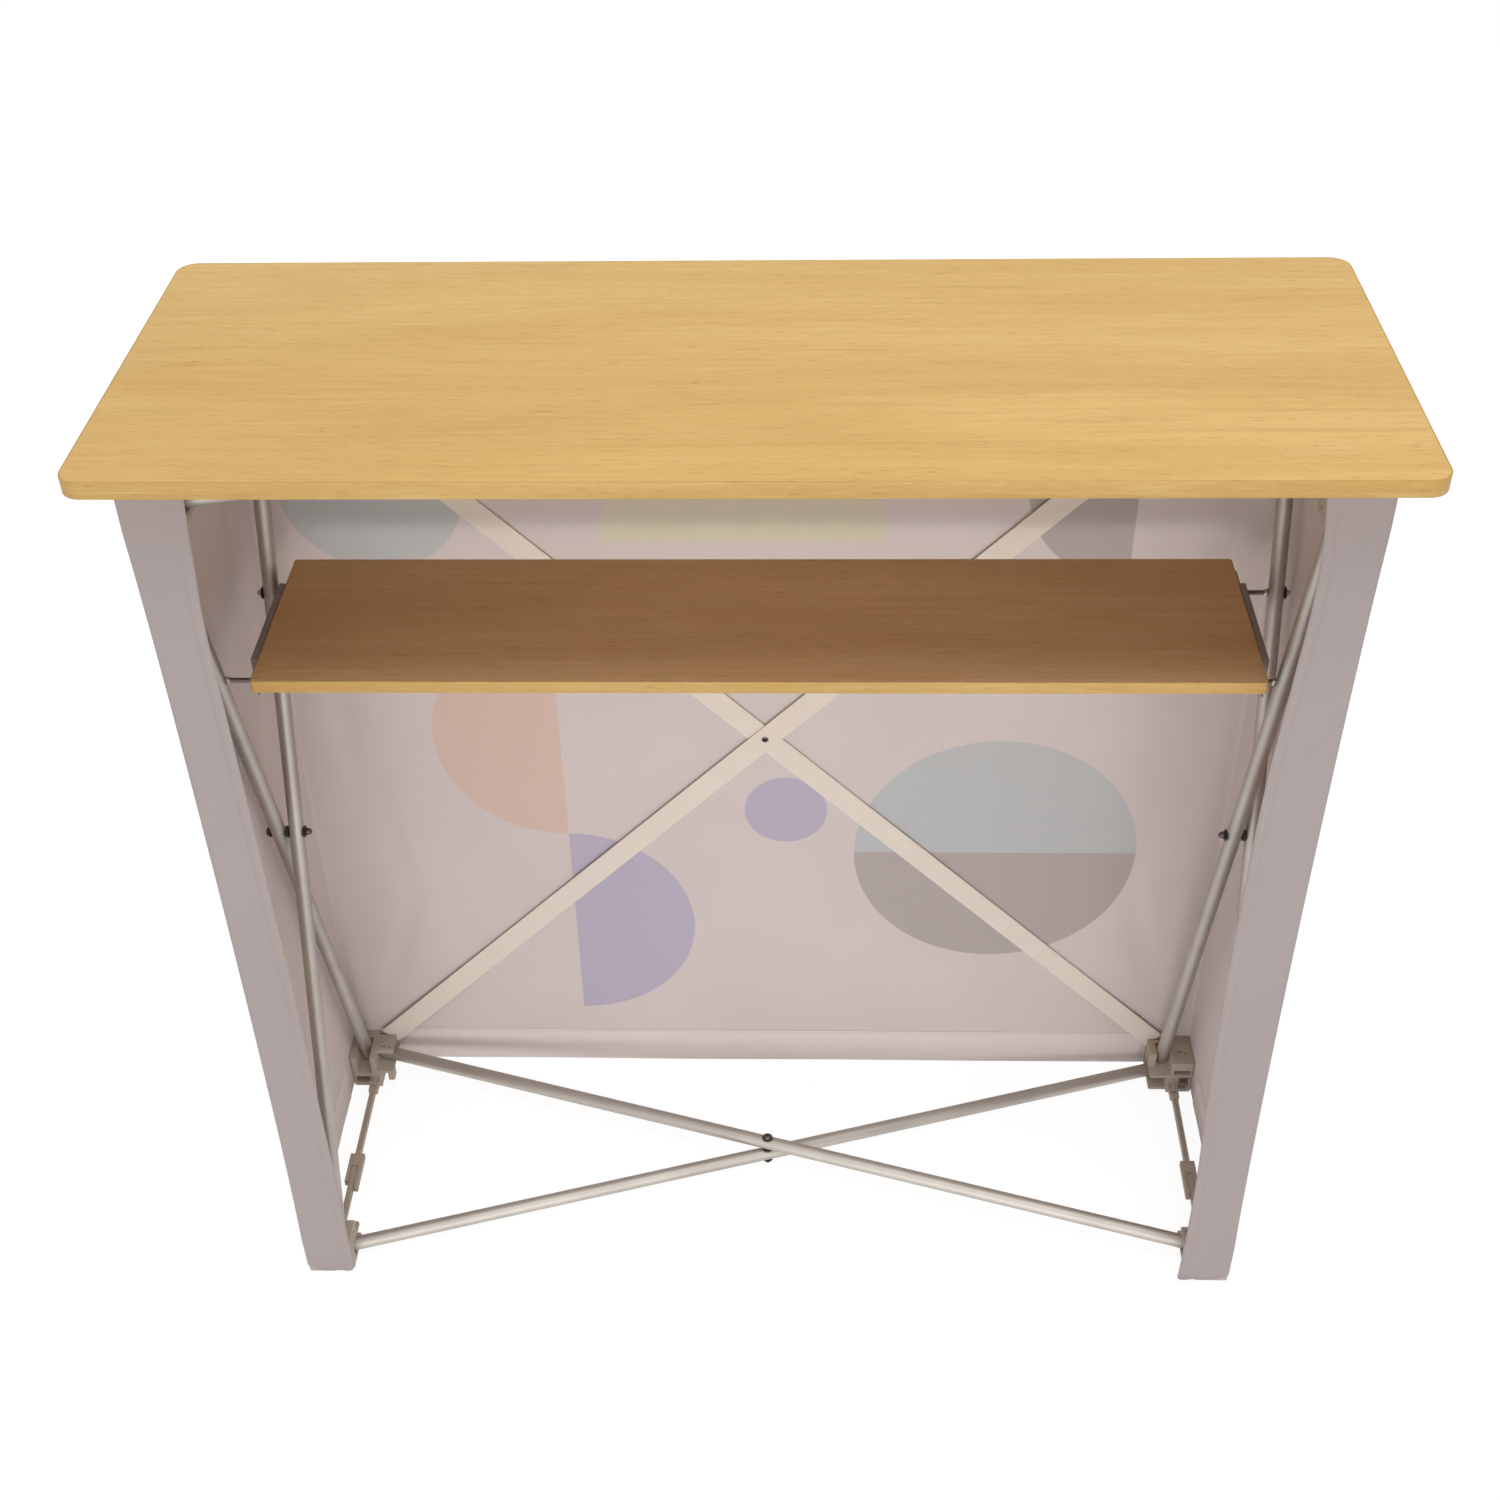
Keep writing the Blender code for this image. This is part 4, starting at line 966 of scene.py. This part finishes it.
def build_mesh(name, points, faces, flat_places=None):
    """A piece from its points and faces, with the place of each point on the flat sheet."""
    mesh = bpy.data.meshes.new(name)
    mesh.from_pydata(points, [], faces)
    if flat_places:
        flat_map = mesh.uv_layers.new(name="flat")
        for loop in mesh.loops:
            flat_map.data[loop.index].uv = flat_places[loop.vertex_index]
    return add_object(name, mesh)


def grid_faces(rows, columns):
    """The faces between rows of points, each of so many points."""
    return [(r * columns + c, r * columns + c + 1, (r + 1) * columns + c + 1, (r + 1) * columns + c)
            for r in range(rows - 1) for c in range(columns - 1)]


rows = round((CLOTH_HIGH - CLOTH_LOW) / PANEL_PITCH)
levels = [CLOTH_LOW + (CLOTH_HIGH - CLOTH_LOW) * row / rows for row in range(rows + 1)]
flat_line = section(CLOTH_LOW)
lengths = [0.0]
for before, after in zip(flat_line, flat_line[1:]):
    lengths.append(lengths[-1] + (after - before).length)
cloth_width = lengths[-1]
corner_places = [length for length, point in zip(lengths, flat_line)
                 if abs(abs(point.x) - half_width) < CORNER_RADIUS[0]
                 and abs(abs(point.y) - half_depth) < CORNER_RADIUS[0]]
points, flat_places = [], []
for row, level in enumerate(levels):
    for length, point in zip(lengths, section(level)):
        nearest = min(abs(length - place) for place in corner_places)
        lift = CORNER_CUT * exp(-(nearest / CORNER_CUT_WIDTH) ** 2)
        free = min(length, cloth_width - length)
        corner_radius = FREE_CORNER[-1 if length < cloth_width / 2 else 1]
        if free < corner_radius:
            lift += corner_radius - sqrt(corner_radius ** 2 - (corner_radius - free) ** 2)
        lift *= (1 - row / rows) ** LIFT_FADE
        push = relief(point.x, point.y, level)
        push.y -= RETURN_HEM_RISE * max(0, min(1, (RETURN_HEM - free) / RETURN_HEM_SLOPE))
        points.append((point.x + push.x, point.y + push.y, level + lift))
        flat_places.append((length - cloth_width / 2, level))
faces = [(a, d, c, b) for a, b, c, d in grid_faces(rows + 1, len(lengths))]
cloth = build_mesh("cloth_wrap", points, faces, flat_places)


# Print of the cloth. Half discs and discs in soft greys and pastels, dyed into its outer face, which
# show through paler on the reverse. An ink has its colour on the face and on the reverse. The colours
# of the reverse are paler partly of themselves and partly as painted light: they are lightened to
# stand in for the light that shines through the thin cloth from outside, and to lift the shade inside
# the counter.
TEAL = ("#93A3A9", "#C0C1C1")
GREY = ("#8F8587", "#B6ABA8")
LAVENDER = ("#A093B0", "#BDB3C5")
PEACH = ("#CFA48E", "#DABFB2")
CREAM = ("#CDBF9B", "#D8CFB8")
# each motif: its centre in metres from the middle of the front and above the floor, its radius, the
# direction of the half disc in degrees, or None for a whole one, and its ink
MOTIFS = (
    ((0.25, 0.34), 0.155, 90, *TEAL),
    ((0.25, 0.34), 0.155, 270, *GREY),
    ((-0.22, 0.23), 0.135, 0, *LAVENDER),
    ((-0.22, 0.50), 0.135, 180, *PEACH),
    ((-0.02, 0.74), 0.140, 90, *CREAM),
    ((0.36, 0.80), 0.105, 180, *GREY),
    ((-0.38, 0.80), 0.090, None, *TEAL),
    ((0.02, 0.40), 0.045, None, *LAVENDER),
    ((0.73, 0.55), 0.075, 90, *PEACH),
    ((0.73, 0.33), 0.060, None, *LAVENDER),
    ((-0.73, 0.66), 0.075, 270, *TEAL),
    ((-0.73, 0.34), 0.060, None, *CREAM),
)


def sheet_place(tree):
    """Places on the flat sheet, from a piece's own map."""
    return add_node(tree, "UVMap", {"uv_map": "flat"}).outputs[0]


def printed_knit(name, ground, side, motifs):
    """Warp-knitted polyester: matt, with a soft sheen and fine upright ribs. The dye has no edge of
    its own thickness, so the print is colour alone."""
    rib_width, rib_run = 1.8 * MM, 6 * MM       # real ribs are about 0.6 mm wide
    blur = 1.2 * MM
    material, tree, shader = start_material(name, 0.88)
    shader.inputs["Sheen Weight"].default_value = 0.25
    shader.inputs["Sheen Roughness"].default_value = 0.5
    shader.inputs["Specular IOR Level"].default_value = 0.3
    flat = sheet_place(tree)
    printed = blend(tree, noise(tree, flat, 180 * MM, 2.0), *ground)
    for centre, radius, facing, *inks in motifs:
        offset = add_node(tree, "VectorMath", {"operation": "SUBTRACT"}, {
            0: flat, 1: (*centre, 0)}).outputs[0]
        away = add_node(tree, "VectorMath", {"operation": "LENGTH"}, {0: offset})
        inside = remap(tree, away.outputs["Value"], radius + blur / 2, radius - blur / 2)
        if facing is not None:
            turn = radians(facing)
            ahead = add_node(tree, "VectorMath", {"operation": "DOT_PRODUCT"}, {
                0: offset, 1: (cos(turn), sin(turn), 0)})
            half = remap(tree, ahead.outputs["Value"], -blur / 2, blur / 2)
            inside = calculate(tree, "MULTIPLY", inside, half)
        printed = blend(tree, inside, printed, inks[side])
    tree.links.new(printed, shader.inputs["Base Color"])
    emboss(tree, shader, noise(tree, flat, (rib_width, rib_run, 1), 2.0), 0.3, 0.15 * MM)
    return material


print_face = printed_knit("stretch knit, printed face", ("#A09492", "#AA9E9C"), 0, MOTIFS)
# The reverse's ground is paler partly of itself and partly as painted light, for the light through the
# cloth and the shade inside.
reverse_knit_painted_light = printed_knit("stretch knit, reverse, paler with painted light", ("#D3C5C2", "#DDD1CE"), 1, MOTIFS)
cloth.data.materials.append(print_face)
cloth.data.materials.append(reverse_knit_painted_light)
apply_modifier(cloth, "SOLIDIFY", thickness=CLOTH_THICKNESS, offset=-1, material_offset=1,
               use_even_offset=True)
bpy.ops.object.shade_smooth()
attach(cloth, "frame")
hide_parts("cloth_front", "cloth_end_left", "cloth_end_right", "cloth_return_left",
            "cloth_return_right")


# Hems. The lower and upper edges of the front and ends are turned in and sewn down, and so are the
# two free edges along the rear. The thread is polyester, and each seam is one row of stitches.
HEM_HEIGHT = 50 * MM
HEM_THICKNESS = 0.7 * MM
HEM_GAP = 0.1 * MM
HEM_EDGE = 0.5 * MM             # hem to the edge of the cloth
HEM_HALF = {"front": 440 * MM, "end": 92 * MM}  # half the stretch between the hubs
HEM_COLUMNS = 61
HEM_ROWS = 4
SEAM_INSET = 3 * MM
STITCH_LENGTH = 2.6 * MM
STITCH_PITCH = 4 * MM
STITCH_RADIUS = 0.3 * MM
STITCH_SIDES = 6


def panel_point(panel, along, z, inset):
    """A point on the inside of a panel. along runs from -1 to 1 across the stretch between hubs."""
    share_x, share_y = draw_share(z)
    if panel == "front":
        x = along * HEM_HALF["front"]
        y = half_depth - CORNER_DRAW.y * share_y + relief(x, half_depth, z).y
        return Vector((x, y - CLOTH_THICKNESS - inset, z))
    way = -1 if panel == "end_left" else 1
    y = along * HEM_HALF["end"]
    x = half_width - CORNER_DRAW.x * share_x + abs(relief(half_width, y, z).x)
    return Vector((way * (x - CLOTH_THICKNESS - inset), y, z))


def add_sheet(name, grid, flat_places, thickness):
    """A thin sheet through rows of points, with half its thickness to each side."""
    points = [point for line in grid for point in line]
    sheet = build_mesh(name, points, grid_faces(len(grid), len(grid[0])), flat_places)
    apply_modifier(sheet, "SOLIDIFY", thickness=thickness, offset=0)
    face_outwards(sheet)
    return sheet


def sew(name, line, outwards):
    """A row of stitches along a line of points. Each is a short thread with pointed ends."""
    spots, run, next_spot = [], 0.0, STITCH_PITCH
    for before, after in zip(line, line[1:]):
        length = (after - before).length
        while run + length >= next_spot:
            share = (next_spot - run) / length
            spots.append((before.lerp(after, share), (after - before).normalized()))
            next_spot += STITCH_PITCH
        run += length
    points, faces = [], []
    for middle, along in spots:
        sideways = along.cross(outwards).normalized()
        base = len(points)
        turns = [step * 2 * pi / STITCH_SIDES for step in range(STITCH_SIDES)]
        points.append(middle - along * STITCH_LENGTH / 2)
        points += [middle + (sideways * cos(turn) + outwards * sin(turn)) * STITCH_RADIUS
                   for turn in turns]
        points.append(middle + along * STITCH_LENGTH / 2)
        for step in range(STITCH_SIDES):
            a, b = base + 1 + step, base + 1 + (step + 1) % STITCH_SIDES
            faces += [(base, a, b), (base + STITCH_SIDES + 1, b, a)]
    thread = build_mesh(name, points, faces)
    face_outwards(thread)
    return finish_piece(thread, thread_finish, "frame", "cloth")


thread_finish = two_tone("polyester sewing thread", 0.8, 0.0, 0.5 * MM, 1.0, "#978C8A", "#B2A7A4")[0]
hem_knit = printed_knit("stretch knit, doubled hem", ("#E0D4D0", "#E9DFDB"), 1, ())
steps = [2 * column / (HEM_COLUMNS - 1) - 1 for column in range(HEM_COLUMNS)]
for panel, facing in (("front", (0, -1, 0)), ("end_left", (1, 0, 0)), ("end_right", (-1, 0, 0))):
    for edge, z_low, z_high in (("lower", CLOTH_LOW + HEM_EDGE, CLOTH_LOW + HEM_HEIGHT),
                                ("upper", CLOTH_HIGH - HEM_HEIGHT, CLOTH_HIGH - HEM_EDGE)):
        grid, flat_places = [], []
        for row in range(HEM_ROWS):
            z = z_low + (z_high - z_low) * row / (HEM_ROWS - 1)
            line = [panel_point(panel, along, z, HEM_GAP + HEM_THICKNESS / 2) for along in steps]
            run = 0.0
            for before, point in zip(line[:1] + line, line):
                run += (point - before).length
                flat_places.append((run, z))
            grid.append(line)
        hem = add_sheet(f"hem_{panel}_{edge}", grid, flat_places, HEM_THICKNESS)
        finish_piece(hem, hem_knit, "frame", "cloth")
        seam_z = z_high - SEAM_INSET if edge == "lower" else z_low + SEAM_INSET
        seam = [panel_point(panel, along, seam_z, HEM_GAP + HEM_THICKNESS) for along in steps]
        sew(f"seam_{panel}_{edge}", seam, Vector(facing))
for side, name in ((-1, "left"), (1, "right")):
    seam = []
    for z in levels:
        share_x, share_y = draw_share(z)
        inset = RETURN_HEM - RETURN_HEM_SLOPE - return_width(side, z)
        seam.append(Vector((side * (half_width - CORNER_DRAW.x * share_x + inset),
                            CORNER_DRAW.y * share_y - half_depth - RETURN_HEM_RISE, z)))
    sew(f"seam_return_{name}", seam, Vector((0, -1, 0)))


# Webbing bands. Flat woven cream polyester webbing of 25 mm, crossed behind the front cloth from
# hub to hub, with one eyelet through both where they cross.
BAND_WIDTH = 25 * MM
BAND_THICKNESS = 1 * MM
BAND_ARRIS = 0.3 * MM
BAND_STEPS = 90
BAND_ROWS = 6
LEAN_ROUNDS = 20
EYELET_HOLE = 2.6 * MM
EYELET_SIDES = 20


def woven_webbing():
    """Plain-woven webbing: matt cream, with raised rows across it and a faint soiling."""
    pick_pitch = 1.4 * MM           # real picks are about 0.8 mm apart
    material, tree, shader = start_material("polyester webbing, cream", 0.85)
    shader.inputs["Sheen Weight"].default_value = 0.2
    flat = sheet_place(tree)
    mapped = add_node(tree, "Mapping", None, {
        "Vector": flat, "Scale": (1 / pick_pitch, 1 / pick_pitch, 1)})
    weave = add_node(tree, "TexChecker", None, {"Vector": mapped.outputs[0], "Scale": 1.0})
    tint = blend(tree, noise(tree, flat, 45 * MM, 3.0), "#E9DCCE", "#F1E5D9")
    woven = add_node(tree, "Mix", {"data_type": "RGBA", "blend_type": "MULTIPLY"}, {
        0: 0.10, 6: tint, 7: weave.outputs["Color"]})
    tree.links.new(woven.outputs[2], shader.inputs["Base Color"])
    emboss(tree, shader, weave.outputs["Fac"], 0.35, 0.1 * MM)
    return material


webbing = woven_webbing()
for name, way in (("band_rear", 1), ("band_front", -1)):
    low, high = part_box(name)
    middle = (low + high) / 2
    # the box holds a strip of known width that leans across it, so its length follows from both
    tall, wide = high.z - low.z, high.x - low.x
    lean = 0.0
    for _ in range(LEAN_ROUNDS):
        reach_x, reach_z = wide - BAND_WIDTH * sin(lean), tall - BAND_WIDTH * cos(lean)
        lean = Vector((1, 0)).angle(Vector((reach_x, reach_z)))
    length = sqrt(reach_x ** 2 + reach_z ** 2)
    along = Vector((cos(lean), 0, way * sin(lean)))
    across = Vector((-way * sin(lean), 0, cos(lean)))
    grid, flat_places = [], []
    for row in range(BAND_ROWS + 1):
        shares = [(step / BAND_STEPS, row / BAND_ROWS) for step in range(BAND_STEPS + 1)]
        grid.append([middle + along * length * (u - 0.5) + across * BAND_WIDTH * (v - 0.5)
                     for u, v in shares])
        flat_places += [(length * u, BAND_WIDTH * v) for u, v in shares]
    strip = add_sheet(f"webbing_{name}", grid, flat_places, BAND_THICKNESS)
    hole = Vector((0, 2 * BAND_THICKNESS, 0))
    cut_out(strip, add_rod("eyelet hole", middle - hole, middle + hole, EYELET_HOLE, EYELET_SIDES))
    round_edges(strip, BAND_ARRIS)
    finish_piece(strip, webbing, "frame", "webbing", name)


# Eyelet. A blackened steel ring with a rolled edge on each face, pressed through both bands where
# they cross.
ROLL_RADIUS = 1.3 * MM

eyelet_low, eyelet_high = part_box("band_eyelet")
eyelet_radius = (eyelet_high.x - eyelet_low.x) / 2
select_only()
bpy.ops.mesh.primitive_torus_add(
    major_radius=eyelet_radius - ROLL_RADIUS, minor_radius=ROLL_RADIUS, major_segments=32,
    minor_segments=12, location=(eyelet_low + eyelet_high) / 2, rotation=(pi / 2, 0, 0))
bpy.context.object.scale = (1, 1, (eyelet_high.y - eyelet_low.y) / 2 / ROLL_RADIUS)
finish_piece(settle("eyelet"), bolt_steel, "frame", "fastener_steel", "band_eyelet")


# Studio. A wide white floor and a white surround, which the camera sees brighter than they light the
# counter, and three large soft lamps: above it, behind it and in front of it.
FLOOR_SIZE = 60
FLOOR_DROP = 0.3 * MM
FLOOR_GLOW = 1.12               # as the camera and mirrors see it; other light isn't touched
FLOOR_GLOW_SHARE = 0.8
AMBIENT = 0.5
# name, place, aim, width, height and power of each lamp
SOFTBOXES = (
    ("overhead", (0.45, -0.9, 3.6), (0.05, 0, 0.9), 1.8, 1.2, 43),
    ("rear_fill", (0, -3.0, 0.5), (0, 0.15, 0.5), 2.4, 0.8, 32),
    ("front_fill", (-0.8, 3.2, 0.5), (0, 0, 0.5), 2.4, 0.8, 40),
)


def seen_directly(tree):
    """1 for what the camera sees directly, in a reflection or through glass, else 0."""
    rays = add_node(tree, "LightPath").outputs
    mirrored = calculate(tree, "MAXIMUM", rays["Is Camera Ray"], rays["Is Glossy Ray"])
    return calculate(tree, "MAXIMUM", mirrored, rays["Is Transmission Ray"])


select_only()
bpy.ops.mesh.primitive_plane_add(size=FLOOR_SIZE, location=(0, 0, -FLOOR_DROP))
floor = bpy.context.object
floor.name = "floor"
paint, tree, shader = start_material("studio floor, white paint", 0.9)
shader.inputs["Base Color"].default_value = colour("#FBFBFB")
shader.inputs["Specular IOR Level"].default_value = 0.1
glow = add_node(tree, "Emission", None, {"Color": (1, 1, 1, 1), "Strength": FLOOR_GLOW})
mixed = add_node(tree, "MixShader", None, {
    0: calculate(tree, "MULTIPLY", seen_directly(tree), FLOOR_GLOW_SHARE),
    1: shader.outputs[0], 2: glow.outputs[0]})
tree.links.new(mixed.outputs[0], tree.nodes["Material Output"].inputs["Surface"])
floor.data.materials.append(paint)

world = bpy.data.worlds.new("studio")
world.use_nodes = True
bpy.context.scene.world = world
background = world.node_tree.nodes["Background"]
strength = remap(world.node_tree, seen_directly(world.node_tree), 0.0, 1.0, AMBIENT, 1.0)
background.inputs["Color"].default_value = (1, 1, 1, 1)
world.node_tree.links.new(strength, background.inputs["Strength"])

for name, place, aim, width, height, power in SOFTBOXES:
    lamp = bpy.data.lights.new(name, "AREA")
    lamp.shape = "RECTANGLE"
    lamp.size, lamp.size_y = width, height
    lamp.energy = power
    holder = add_object(name, lamp)
    holder.location = place
    holder.rotation_euler = (Vector(aim) - Vector(place)).to_track_quat("-Z", "Y").to_euler()
